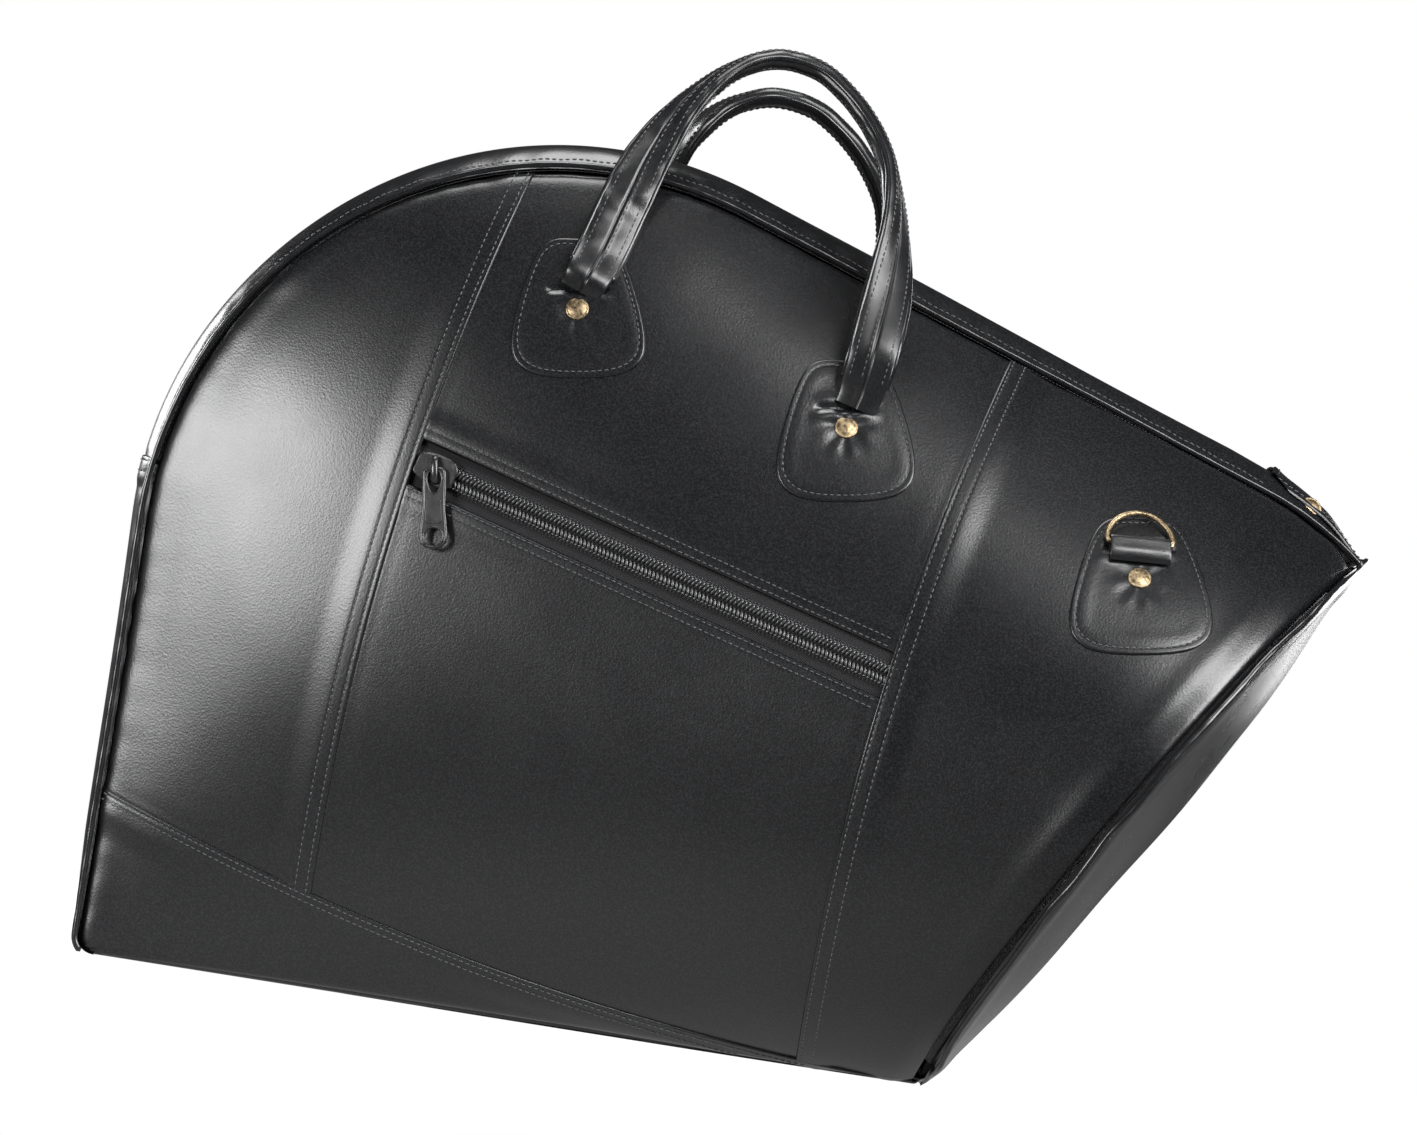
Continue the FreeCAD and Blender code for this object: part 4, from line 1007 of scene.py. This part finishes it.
for side, name in ((-1, "front"), (1, "back")):
    for spot, centre, wide, high, rivet in SPOTS:
        patch_rows.append(patch(f"{name}_{spot}_patch", side, centre, wide, high, TILT, rivet, False))
        handle_rivets.append(rivet_at(rivet, side))
patch_rows.append(patch("front_ring_patch", -1, RING_PATCH, 68, 65, TILT, RING_RIVET, True))
patch_rows.append(patch("back_ring_patch", 1, BACK_RING_PATCH, 68, 65, -TILT, BACK_RING_RIVET, True))
ring_rivets = [rivet_at(RING_RIVET, -1), rivet_at(BACK_RING_RIVET, 1)]
make("patch_stitches", *joined(patch_rows), THREAD_M, slot="black_leather")
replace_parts(make("handle_rivet_caps", *joined(handle_rivets), BRASS, slot="antique_brass"), "handle_rivets")
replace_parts(make("ring_rivet_caps", *joined(ring_rivets), BRASS, slot="antique_brass"), "ring_rivets")


# ------------------------------------------------------------------ rings and their loops
def local(points, origin, x_axis, y_axis, z_axis):
    return np.asarray(points) @ np.stack([x_axis, y_axis, z_axis]) + origin


RING_HALF, RING_RISE, RING_WIRE = 16.0, 17.0, 1.28
LOOP_HALF, LOOP_THICK = 14.8, 1.25


def ring_line():
    """Closed middle line of a D-ring's wire, with its straight bar on the X axis."""
    radius = (RING_HALF**2 + RING_RISE**2) / (2 * RING_RISE)
    start = math.atan2(radius - RING_RISE, RING_HALF)
    a = np.linspace(start, math.pi - start, 60)[2:-2]
    bow = np.stack([radius * np.cos(a), RING_RISE - radius + radius * np.sin(a), 0 * a], axis=1)
    corner = np.array([[0.6 - RING_HALF, -0.4, 0], [2.2 - RING_HALF, -0.35, 0]])
    bar = np.linspace(4 - RING_HALF, RING_HALF - 4, 20)[:, None] * [1, 0, 0]
    return np.vstack([bow, corner, bar, corner[::-1] * [-1, 1, 1]])


def loop_sections():
    """Sections, 60 of 40 points, of the leather strip that wraps a ring's bar."""
    mid = RING_WIRE + 0.45 + LOOP_THICK / 2
    wrap = [(mid * math.sin(t), mid * math.cos(t)) for t in np.linspace(0, math.pi, 16)]
    spine = [(-10.2, -1.4), (-8.6, 0.35), (-6.0, 1.6), (-3.0, 2.05)] + wrap + [(-1.8, -2.3), (-5.0, -2.7)]
    spine = spline(spine, 60)
    t = unit(np.gradient(spine, axis=0))
    n = np.stack([-t[:, 1], t[:, 0]], axis=1)
    k = np.linspace(0, 2 * math.pi, 40, endpoint=False)
    a, b = rounded(np.cos(k), 0.35), rounded(np.sin(k), 0.6)
    slack = 0.14 * np.sin(np.arange(60) / 5)[:, None] * (1 - a * a)
    flat = spine[:, None] + n[:, None] * (b * (LOOP_THICK / 2 + slack))[..., None]
    return np.concatenate([np.broadcast_to(LOOP_HALF * a, (60, 40))[..., None], flat], axis=-1)


def ring_set(name, side, rivet, tilt):
    place = np.array([[rivet[0] - 15 * math.sin(tilt), rivet[1] + 15 * math.cos(tilt)]])
    up = surface_normal(place, side)[0]
    bar = on_surface(place, side)[0] + up * (1.6 + 0.3 + 1.2 + 0.35 + 1.3)
    hint = np.array([math.cos(tilt), 0, math.sin(tilt)])
    y_axis = unit(np.cross(up, hint))
    x_axis = np.cross(y_axis, up)
    if y_axis[2] < 0:
        y_axis = -y_axis
    place_in = lambda points: local(points, bar, x_axis, y_axis, up)
    ring = tube(f"{name}_wire", place_in(ring_line()), RING_WIRE, BRASS, 14, True, body=name, slot="antique_brass")
    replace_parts(ring, f"{name}_d_ring")
    sections = place_in(loop_sections().reshape(-1, 3))
    loop = make(f"{name}_leather_loop", sections, grid_faces(60, 40, wrap=True), GLOSSY, slot="black_leather")
    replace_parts(loop, f"{name}_loop")
    xs = np.arange(2 - LOOP_HALF, LOOP_HALF - 1.9, 2.9)
    n = len(xs)
    here = place_in(np.column_stack([xs, np.full(n, -5.2), np.full(n, 2.3)]))
    row = capsules(here, np.tile(x_axis, (n, 1)), np.tile(up, (n, 1)), 2.3, THREAD)
    make(f"{name}_loop_stitches", *row, THREAD_M, slot="black_leather")


ring_set("front_ring", -1, RING_RIVET, TILT)
ring_set("back_ring", 1, BACK_RING_RIVET, -TILT)


# ------------------------------------------------------------------ handles
FEET = [(-12.5, 355.5), (125.5, 320.5)]
LEFT_RISE = [(-15.2, 353.5), (-12.4, 361), (-7.5, 375), (-0.5, 400), (7.5, 424.5), (19, 447.5), (34.5, 466)]
OVER_TOP = [(48.5, 476), (64, 481), (82, 478.5), (96, 470), (109, 457.5), (119, 443), (125.5, 427.5)]
FRONT_RUN = LEFT_RISE + OVER_TOP + [(130.5, 405), (131.5, 377), (129, 347), (126.2, 326), (124.2, 318)]
BACK_DROP = 15.0
HANDLE_LOW, HANDLE_HIGH = 340.0, 481.0
APEX_DEPTH = {-1: 34.0, 1: 38.0}


def handle_line(side, count=420):
    """Middle line of a handle, with the depth that it leans to."""
    run = np.array(FRONT_RUN, float)
    t = np.clip((run[:, 1] - HANDLE_LOW) / (HANDLE_HIGH - HANDLE_LOW), 0, 1)
    if side > 0:
        run[:, 1] -= BACK_DROP * t**1.2
        run[:, 0] += 3.0 * t * (1 - t) * 4 * (run[:, 0] < 60)
    feet = on_surface(np.array(FEET), -1)[:, 1] - 9.0
    across = np.clip((run[:, 0] + 12.5) / 138.0, 0, 1)
    foot_depth = feet[0] * (1 - across) + feet[1] * across
    y = foot_depth + (-APEX_DEPTH[side] - foot_depth) * t
    base = on_surface(run[[0, -1]], -1)[:, 1]
    y[0], y[-1] = base[0] - 0.8, base[1] - 0.8
    y[1], y[-2] = on_surface(run[[1]], -1)[0, 1] - 5.5, on_surface(run[[-2]], -1)[0, 1] - 5.5
    line = spline(np.column_stack([run[:, 0], y, run[:, 1]]), count)
    return line * [1, -side, 1]


def handle_frames(line, side):
    """Width and thickness directions: flat on the bag at both ends, turned edge-on at the top."""
    t = unit(np.gradient(line, axis=0))
    outward = np.array([0, float(side), 0])
    thick = unit(outward - t * (t @ outward)[:, None])
    wide = np.cross(t, thick)
    share = np.linspace(0, 1, len(line))
    turn = 0.5 * math.pi * smooth(0.10, 0.44, share) * (1 - smooth(0.62, 0.93, share))
    c, s = np.cos(turn)[:, None], np.sin(turn)[:, None]
    return t, wide * c + thick * s, thick * c - wide * s, share


def handle_rows(line, t, wide, thick, half_wide, half_thick):
    """Stitch rows beside both edges of a handle, and one beside the seam on its outer face."""
    rows, part = [], slice(16, -16)
    for edge, face in ((-1, -1), (-1, 1), (0, 1), (1, -1), (1, 1)):
        offset = edge * (half_wide - 3.3) if edge else np.full(len(line), 2.2)
        round_off = np.sqrt(np.clip(1 - (np.abs(offset) / half_wide) ** 3.0, 0.02, 1)) ** 0.9
        rise = face * (half_thick * round_off + 0.25)
        row = (line + wide * offset[:, None] + thick * rise[:, None])[part]
        at = np.arange(0, lengths(row)[-1], STITCH)
        index = nearest_index(row, at)
        up = (thick[part] * face)[index]
        rows.append(capsules(along_line(row, at), t[part][index], up, STITCH_LONG, THREAD))
    return joined(rows)


def handle(side, name):
    line = handle_line(side)
    t, wide, thick, share = handle_frames(line, side)
    top = smooth(0.12, 0.45, share) * (1 - smooth(0.6, 0.9, share))
    half_wide = 11.6 - 1.8 * top - 1.2 * (bump(share, 0, 0.03) + bump(share, 1, 0.03))
    half_thick = 2.1 + 2.7 * top
    near_seam = math.pi / 2 + np.radians([-2.2, -1.1, -0.5, -0.2, 0.2, 0.5, 1.1, 2.2])
    a = np.sort(np.concatenate([np.linspace(0, 2 * math.pi, 72, endpoint=False), near_seam]))
    ca, sa = np.cos(a), np.sin(a)
    sx, sy = rounded(ca, 0.62), rounded(sa, 0.75)
    run = lengths(line)
    R, A = np.meshgrid(run, a, indexing="ij")
    crinkle = 0.75 * smooth(0.03, 0.12, share) * (1 - smooth(0.30, 0.46, share)) + 0.12
    folds = np.sin(R / 1.9 + 2.2 * np.cos(A) + 1.4 * np.sin(R / 7)) * 0.2 * (0.5 + 0.5 * np.sin(R / 9 + A))
    folds += np.sin(R / 3.7 - 3 * np.cos(A) + np.sin(R / 5)) * 0.22
    pleats = np.sin(R / 2.6 + 0.8 * np.sin(R / 9)) * 0.3 * top[:, None] * bump(ca[None], -side, 0.9)
    swell = folds * crinkle[:, None] + pleats
    from_seam = sx[None] * half_wide[:, None]
    seam = (0.25 * bump(from_seam, 1.3, 0.9) - 0.8 * bump(from_seam, 0, 0.55)) * (sa[None] > 0)
    x = sx[None] * (half_wide[:, None] + 0.25 * swell)
    y = sy[None] * half_thick[:, None] + (swell * 0.8 + seam) * rounded(sa[None], 0.5)
    p = line[:, None] + wide[:, None] * x[..., None] + thick[:, None] * y[..., None]
    faces = grid_faces(len(line), len(a), wrap=True)
    obj = make(f"{name}_handle_leather", p.reshape(-1, 3), faces, GLOSSY, None, "handle_leather")
    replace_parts(obj, f"{name}_handle")
    pieces = [obj]
    for edge, word in ((-1, "left"), (1, "right")):
        bead = line + wide * (edge * (half_wide - 0.2))[:, None] + thick * (0.4 * top)[:, None]
        radius = 1.35 + 0.08 * np.sin(run[14:-14:2] / 3)
        bead = tube(f"{name}_handle_bead_{word}", bead[14:-14:2], radius, PIPED, 10, body=None, slot="handle_leather")
        pieces.append(bead)
    rows = handle_rows(line, t, wide, thick, half_wide, half_thick)
    pieces.append(make(f"{name}_handle_stitches", *rows, THREAD_M, None, "handle_leather"))
    for piece in pieces:
        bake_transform(piece)


handle(-1, "front")
handle(1, "back")


# ------------------------------------------------------------------ zips
def coil_rows(centre, along, up, wide, half=2.55):
    """Herringbone rows of coil teeth on both sides of a zip's middle."""
    parts = []
    pitch = np.vstack([np.diff(centre, axis=0), centre[-1:] - centre[-2:-1]])
    for sign, shift in ((-1, 0.0), (1, 0.5)):
        lean = unit(along * 0.42 + wide * sign)
        here = centre + wide * (sign * half) + up * 0.2 + pitch * shift
        parts.append(capsules(here, lean, up, 4.9, 0.78, 0.9, 8))
        parts.append(capsules(here + wide * sign * 2.0 + up * 0.25, along, up, 1.5, 0.55, 1.0, 6))
    return parts


TAPE_ROWS = (-6.0, 6.0, -5.2, 5.2)
COIL_PITCH = 2.05


def zip_tape(name, line, up, wide, half, node):
    """Woven tape with a raised band under the coil and sewn lines on each side of it."""
    shares = np.array([0, 0.3, 0.45, 0.5, 0.55, 0.62, 0.7, 0.9, 0.985, 1])
    w = np.concatenate([-shares[:0:-1], shares]) * half
    lift = 0.5 * bump(w, 0, 5) - 0.25 * bump(np.abs(w), 5.6, 0.5) - 0.4 * smooth(half - 1.5, half, np.abs(w))
    p = line[:, None] + wide[:, None] * w[None, :, None] + up[:, None] * lift[None, :, None]
    obj = make(name, p.reshape(-1, 3), grid_faces(len(line), len(w)), TAPE, slot="zip_tape")
    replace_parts(obj, node)
    at = np.arange(1, lengths(line)[-1] - 1, 1.9)
    index = nearest_index(line, at)
    ahead, middle = np.gradient(line, axis=0)[index], along_line(line, at) + up[index] * 0.1
    parts = [capsules(middle + wide[index] * row, ahead, up[index], 1.3, 0.22) for row in TAPE_ROWS]
    make(f"{name}_stitches", *joined(parts), THREAD_M, slot="zip_tape")


START3 = on_surface(ZIP_START[None], -1)[0]
END3 = on_surface(ZIP_END[None], -1)[0]
Z_ALONG, Z_LENGTH = unit(END3 - START3), float(np.linalg.norm(END3 - START3))
Z_OUT = surface_normal((ZIP_START[None] + ZIP_END[None]) / 2, -1)[0]
Z_OUT = unit(Z_OUT - Z_ALONG * (Z_OUT @ Z_ALONG))
Z_UP = np.cross(Z_OUT, Z_ALONG)


def zip_place(x):
    """Middle line of the pocket zip, on the slot's floor."""
    x = np.asarray(x, float)
    share = x / Z_LENGTH
    flat = ZIP_START + (ZIP_END - ZIP_START) * share[:, None]
    return on_surface(flat, -1) - Z_OUT * 2.2


same = lambda v, n: np.tile(v, (n, 1))
three = lambda flat: np.column_stack([flat[:, 0], np.zeros(len(flat)), flat[:, 1]])
line = zip_place(np.linspace(-4, Z_LENGTH + 4, 160))
zip_tape("pocket_tape", line, same(Z_OUT, 160), same(Z_UP, 160), 12.6, "pocket_zip_tape")
x = np.arange(1, Z_LENGTH - 1, COIL_PITCH)
ways = (same(v, len(x)) for v in (Z_ALONG, Z_OUT, Z_UP))
rows = coil_rows(zip_place(x) + Z_OUT * 1.75, *ways)
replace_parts(make("pocket_coil", *joined(rows), NYLON, slot="zip_coil"), "pocket_zip_chain")

Y_WAY = np.array([0.0, 1.0, 0.0])
here, out = path_frame(np.linspace(CROSS_AT - 4, PATH_LENGTH - 8, 420))
zip_tape("main_tape", three(here + out * 0.9), three(out), same(Y_WAY, 420), 11.6, "main_zip_tape")
s = np.arange(CROSS_AT + 1, CORNER_AT + 4, COIL_PITCH)
here, out = path_frame(s)
step = path_point(s + 0.5) - path_point(s - 0.5)
rows = coil_rows(three(here + out * 2.6), three(step), three(out), same(Y_WAY, len(s)))
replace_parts(make("main_coil", *joined(rows), NYLON, slot="zip_coil"), "main_zip_chain")


def flat_shape(name, outlines, thick, bevel):
    """Plate from 2-D outlines (the first is the outer one), with rounded edges."""
    curve = bpy.data.curves.new(name, "CURVE")
    curve.dimensions, curve.fill_mode = "2D", "BOTH"
    curve.extrude, curve.offset = (thick / 2 - bevel) * MM, -bevel * MM
    curve.bevel_depth, curve.bevel_resolution = bevel * MM, 3
    for outline in outlines:
        part = curve.splines.new("POLY")
        part.points.add(len(outline) - 1)
        corners = np.column_stack([outline * MM, np.zeros(len(outline)), np.ones(len(outline))])
        part.points.foreach_set("co", corners.ravel())
        part.use_cyclic_u = True
    source = bpy.data.objects.new(name + "_source", curve)
    bpy.context.scene.collection.objects.link(source)
    bpy.context.view_layer.update()
    mesh = bpy.data.meshes.new_from_object(source.evaluated_get(bpy.context.evaluated_depsgraph_get()))
    bpy.data.objects.remove(source)
    p = np.array([v.co for v in mesh.vertices]) / MM
    faces = [list(f.vertices) for f in mesh.polygons]
    bpy.data.meshes.remove(mesh)
    return p, faces


HINGE_RISE, BRIDGE_HEIGHT = 1.8, 4.9
HOLE_AT, WINDOW_AT = np.array([32.6, 0.0]), np.array([6.0, 0.0])


def hole(radius):
    t = np.linspace(0, 2 * math.pi, 40, endpoint=False)
    return HOLE_AT + radius * np.column_stack([np.cos(t), np.sin(t)])


def pull(name, body, hinge, down, out, node):
    """Zip pull: plate with a raised rim, a teardrop window over the bridge and a round hole."""
    z = unit(out)
    y = unit(np.cross(z, down))
    place_in = lambda points: local(points, hinge, np.cross(y, z), y, z)
    head = [(-1.15, 0), (-1.0, 3.1), (0.4, 5.0), (6, 5.3)]
    outer = mirrored(spline(head + [(17, 5.6), (28, 6.3), (33.2, 6.4), (37.0, 4.8), (38.8, 0)], 60))
    tear = mirrored(spline([(1.1, 0), (1.5, 2.3), (4.2, 3.2), (7.4, 2.8), (10.4, 1.6), (11.6, 0)], 30))
    p, f = flat_shape(name, [outer, tear, hole(4.3)], 1.3, 0.3)
    parts = [(place_in(p), f)]
    rim = outer - unit(outer - [19.0, 0.0]) * 0.75
    for bead, radius in ((rim, 0.78), (tear + unit(tear - WINDOW_AT) * 0.5, 0.5), (hole(4.8), 0.6)):
        p, f = tube_mesh(np.column_stack([bead, np.full(len(bead), 0.35)]), radius, 8, True)
        parts.append((place_in(p), f))
    pad = mirrored(spline([(13.8, 0), (14.2, 2.9), (15.6, 3.5), (22, 3.9), (25.6, 3.6), (26.4, 0)], 24))
    p, f = flat_shape(name + "_field", [pad], 0.7, 0.2)
    parts.append((place_in(p + [0, 0, 0.62]), f))
    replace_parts(make(name, *joined(parts), ENAMEL, body, "black_metal"), node)


def slider(name, body, centre, along, wide, out, low, hang, node):
    """Zip slider: two shield-shaped plates, side rails and a bridge along the pull's direction."""
    right = [(10.4, 0), (10.2, 3.6), (8.2, 6.2), (4.5, 7.2), (-2, 6.9), (-7.5, 5.9), (-10.2, 4.4), (-10.5, 0)]
    shield = mirrored(spline(right, 50))
    place_in = lambda points: local(points, centre, along, wide, out)
    parts = []
    for level, scale in ((low + 5.55, 1.0), (low + 0.2, 0.96)):
        p, f = flat_shape(name + "_plate", [shield * scale], 1.7, 0.6)
        parts.append((place_in(p + [0, 0, level]), f))
    for sign in (-1, 1):
        rail = spline([(7.6, sign * 6.2), (4, sign * 6.9), (-2, sign * 6.75), (-7.6, sign * 5.7)], 30)
        for level in (low + 1.4, low + 2.6, low + 3.8, low + 4.7):
            p, f = tube_mesh(np.column_stack([rail, np.full(30, level)]), 0.85, 8)
            parts.append((place_in(p), f))
    t = np.linspace(0, math.pi, 30)
    top = low + 5.9 + (BRIDGE_HEIGHT - 0.7) * np.sin(t) ** 0.55
    p, f = tube_mesh(np.column_stack([-6.1 * np.cos(t), 0 * t, top]), 1.0, 12)
    hang = unit(hang)
    parts.append((local(p * [1, 1.75, 1], centre, hang, np.cross(out, hang), out), f))
    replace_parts(make(name, *joined(parts), ENAMEL, body, "black_metal"), node)


hang = np.array([math.sin(TILT), 0, -math.cos(TILT)])
hang = unit(hang - Z_OUT * (hang @ Z_OUT))
POCKET_LOW, MAIN_LOW, EYE_RISE = -2.0, 1.8, 6.6
centre = START3 + Z_ALONG * 21
slider("pocket_slider_body", "pocket_zip_slider", centre, Z_ALONG, Z_UP, Z_OUT, POCKET_LOW, hang, "pocket_slider")
pocket_hinge = centre + Z_OUT * (POCKET_LOW + EYE_RISE + HINGE_RISE)
pull("pocket_pull_plate", "pocket_zip_pull", pocket_hinge, hang, Z_OUT, "pocket_pull")

m_along = unit(np.array([G_TANGENT[0] - G_CORNER[0], 0, G_TANGENT[1] - G_CORNER[1]]))
m_out = np.array([math.sin(SLOPE), 0, math.cos(SLOPE)])
m_centre = np.array([G_CORNER[0], 0, G_CORNER[1]]) + m_along * 14
m_wide = np.cross(m_out, m_along)
slider("main_slider_body", "main_zip_slider", m_centre, m_along, m_wide, m_out, MAIN_LOW, m_along, "main_slider")
main_hinge = m_centre + m_out * (MAIN_LOW + EYE_RISE + HINGE_RISE)
pull("main_pull_plate", "main_zip_pull", main_hinge, m_along, m_out, "main_pull")


# ------------------------------------------------------------------ end tab
TAB_HALF, TAB_ROW, TAB_RIVET = 48.0, 3.2, 45.8


def tab_points(s, w):
    """Tab over the end of the main zip: it follows the gusset's crown and stands a little proud."""
    t = (s - CORNER_AT) / G_LENGTHS[3]
    lift = crown_at(s) + 2.6 - 2.0 * smooth(0.55, 1.0, t)
    edge = np.minimum(TAB_HALF - np.abs(w), s - CORNER_AT + 2)
    lift = lift + 0.3 * np.sin(w / 9) + 1.4 * bump(s, CORNER_AT - 2, 5)
    lift = lift - 1.4 * rolled(edge, 1.1) + groove(edge, (TAB_ROW,))
    return gusset_points(s, w, lift - (crown_at(s) - 3.0) * np.clip((np.abs(w) - 26) / 26, 0, 1) ** 2)


tip = [-2, -1.85, -1.6, -1.2, -0.6, 0, 0.7, 1.2, 2, 3]
s = np.concatenate([tip, np.linspace(4, G_LENGTHS[3] + 2, 40)]) + CORNER_AT
w = TAB_HALF * edge_run(TAB_HALF, 24)
S, W = np.meshgrid(s, w, indexing="ij")
W = W * (1 - 0.10 * bump(S, CORNER_AT - 2, 6) * smooth(0.5, 1, np.abs(W) / TAB_HALF))
tab = make("end_tab_leather", tab_points(S, W).reshape(-1, 3), grid_faces(*S.shape), BLACK, slot="black_leather")
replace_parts(tab, "zip_end_tab")
parts = []
at = np.array([CORNER_AT + 0.40 * G_LENGTHS[3]])
out = path_frame(at)[1][0]
for sign in (-1, 1):
    here = tab_points(at, np.array([sign * TAB_RIVET]))[0] - 2.2 * np.array([out[0], 0.0, out[1]])
    p, f = lathe(RIVET_ROWS)
    parts.append((turned_to(p, here, np.array([out[0], 1.7 * sign, out[1]])), f))
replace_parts(make("tab_rivet_caps", *joined(parts), BRASS, slot="antique_brass"), "zip_tab_rivets")
sides = np.arange(CORNER_AT + 3, PATH_LENGTH - 1, STITCH)
row_s = np.concatenate([np.full(25, CORNER_AT + 1.2), sides, sides])
edge = np.full(len(sides), TAB_HALF - TAB_ROW)
row_w = np.concatenate([np.linspace(-40, 40, 25), -edge, edge])
ahead = np.vstack([same(Y_WAY, 25), same(m_along, 2 * len(sides))])
outs = three(path_frame(row_s)[1])
row = capsules(tab_points(row_s, row_w) + outs * 0.2, ahead, outs, STITCH_LONG, THREAD)
make("end_tab_stitches", *row, THREAD_M, slot="black_leather")


# ------------------------------------------------------------------ inside
def inner_sheet(name, side, start, thick, material, node, slot, quilt=0.0):
    """Closed sheet that follows the outer surface at a depth under it."""
    u, v = np.linspace(0.02, 0.975, 70), np.linspace(0.02, 0.975, 60)
    A, C = np.meshgrid(u, v, indexing="ij")
    flat = plan_point(A, C)
    puff = quilt * np.abs(np.sin(flat[..., 0] / 15.9) * np.sin(flat[..., 1] / 15.9)) ** 0.5
    outer = np.stack([flat[..., 0], side * (depth(A, C) - start), flat[..., 1]], axis=-1)
    inner = outer - np.stack([0 * A, side * (thick - puff), 0 * A], axis=-1)
    obj = make(name, *closed_sheet(outer, inner, side > 0), material, slot=slot)
    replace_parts(obj, node)
    return obj


for side, name in ((-1, "front"), (1, "back")):
    pad = inner_sheet(f"{name}_foam_pad", side, 3.2, 5.0, FOAM, f"{name}_foam", "foam", 0.8)
    inner_sheet(f"{name}_lining_cloth", side, 9.2, 0.8, CLOTH, f"{name}_lining", "lining_cloth")
L, T = np.meshgrid(np.linspace(-0.93, 0.93, 40), np.linspace(-0.93, 0.93, 40), indexing="ij")
outer = cap_point(L, T, inside=1.5, shrink=9, puff=False)
inner = outer - np.array([BELL_OUT[0], 0, BELL_OUT[1]]) * 5.5
disc = make("bell_foam_disc", *closed_sheet(outer, inner, False), FOAM, slot="foam")
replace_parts(disc, "bell_foam")

# pocket pouch: a thin cloth bag that hangs from the zip, slightly filled
P, Q = np.meshgrid(np.linspace(0, 1, 50), np.linspace(0, 1, 30), indexing="ij")
swell = np.sin(math.pi * P) ** 0.5 * np.sin(math.pi * Q) ** 0.5
corner = START3 + Z_ALONG * 22 + Z_UP * -103 - Z_OUT * 32
sheet = corner + Z_ALONG * (P * 211)[..., None] + Z_UP * (Q * 116)[..., None]
folds = 0.4 * np.sin(P * 40) * np.sin(Q * 9) * (swell > 0.1)
pouch = [(sheet + Z_OUT * (folds + 3.2 * sign * swell)[..., None]).reshape(-1, 3) for sign in (-1, 1)]
faces = list(grid_faces(50, 30)) + list(grid_faces(50, 30, flip=True, start=50 * 30))
pocket = make("pocket_pouch", np.concatenate(pouch), faces, CLOTH, slot="lining_cloth")
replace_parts(pocket, "pocket_bag")

# ------------------------------------------------------------------ studio
scene = bpy.context.scene


ROOM_LIGHT = 0.035


def stage_material():
    """Pale floor: white to the eye, and a card that glows only near the bag in its reflections."""
    grey = (0.12, 0.12, 0.12)
    m = Shader("studio_white", grey, 0.9, specular=0.05)
    m.colours(m.noise(3), (0.3, [c * 0.99 for c in grey]), (0.7, grey))
    far = m.nodes.new("ShaderNodeVectorMath")
    far.operation = "LENGTH"
    m.links.new(m.place, far.inputs[0])
    glow = m.spread(far.outputs["Value"], 0.6, 0.03, 0.15, 0.42)
    path, choice = m.nodes.new("ShaderNodeLightPath"), m.nodes.new("ShaderNodeMix")
    choice.inputs["B"].default_value = 1.0
    m.links.new(path.outputs["Is Camera Ray"], choice.inputs["Factor"])
    m.links.new(glow, choice.inputs["A"])
    m.feed("Emission Strength", choice.outputs["Result"])
    m.base.inputs["Emission Color"].default_value = (1, 1, 1, 1)
    return m.material


FLOOR_RADIUS = 900.0
rings = np.array([0.0, 0.35, 0.7, 0.9, 1.0]) * FLOOR_RADIUS
turn = np.linspace(0, 2 * math.pi, 97)[:-1]
R, A = np.meshgrid(rings, turn, indexing="ij")
grid = np.stack([R * np.cos(A), R * np.sin(A), np.full(R.shape, -0.6)], axis=-1)
faces = grid_faces(*R.shape, wrap=True)
floor = make("studio_floor", grid.reshape(-1, 3), faces, stage_material(), body=None)


def softbox(name, where, size_x, size_y, power, target=(0.05, -0.05, 0.22)):
    light = bpy.data.lights.new(name, "AREA")
    light.shape, light.size, light.size_y = "RECTANGLE", size_x, size_y
    light.energy, light.spread = power, math.radians(95)
    obj = bpy.data.objects.new(name, light)
    scene.collection.objects.link(obj)
    obj.location = where
    obj.rotation_euler = (Vector(target) - Vector(where)).to_track_quat("-Z", "Y").to_euler()


softbox("left_wall", (-1.78, -1.75, 0.5), 1.1, 0.8, 17, (-0.15, -0.08, 0.22))
softbox("right_front", (2.05, -1.35, 1.15), 1.3, 1.1, 26, (0.25, -0.1, 0.2))
softbox("right_high", (1.1, -1.7, 1.9), 1.2, 0.8, 15, (0.25, -0.1, 0.25))
softbox("right_edge", (1.25, 1.5, 0.35), 0.9, 0.8, 4.5, (0.3, 0.0, 0.2))
softbox("top", (-0.3, 0.1, 2.4), 1.6, 0.9, 14)
softbox("back_left", (-1.9, 1.6, 0.8), 1.0, 0.8, 12)

world = bpy.data.worlds.new("studio")
scene.world = world
world.use_nodes = True
nodes, links = world.node_tree.nodes, world.node_tree.links
white, dim = nodes["Background"], nodes.new("ShaderNodeBackground")
choice, path = nodes.new("ShaderNodeMixShader"), nodes.new("ShaderNodeLightPath")
white.inputs["Color"].default_value = (1, 1, 1, 1)
dim.inputs["Color"].default_value = (1, 1, 1, 1)
dim.inputs["Strength"].default_value = ROOM_LIGHT
links.new(path.outputs["Is Camera Ray"], choice.inputs[0])
links.new(dim.outputs[0], choice.inputs[1])
links.new(white.outputs[0], choice.inputs[2])
links.new(choice.outputs[0], nodes["World Output"].inputs["Surface"])
scene.view_settings.view_transform = "Standard"

camera = bpy.data.cameras.new("camera")
camera.lens, camera.sensor_width = 249.0, 36.0
camera.clip_end = 30
eye = bpy.data.objects.new("camera", camera)
scene.collection.objects.link(eye)
level, roll = Matrix.Rotation(math.radians(90), 4, "X"), Matrix.Rotation(TILT, 4, "Z")
eye.matrix_world = Matrix.Translation((0.0668, -4.8, 0.2316)) @ level @ roll
scene.camera = eye

bpy.context.view_layer.update()
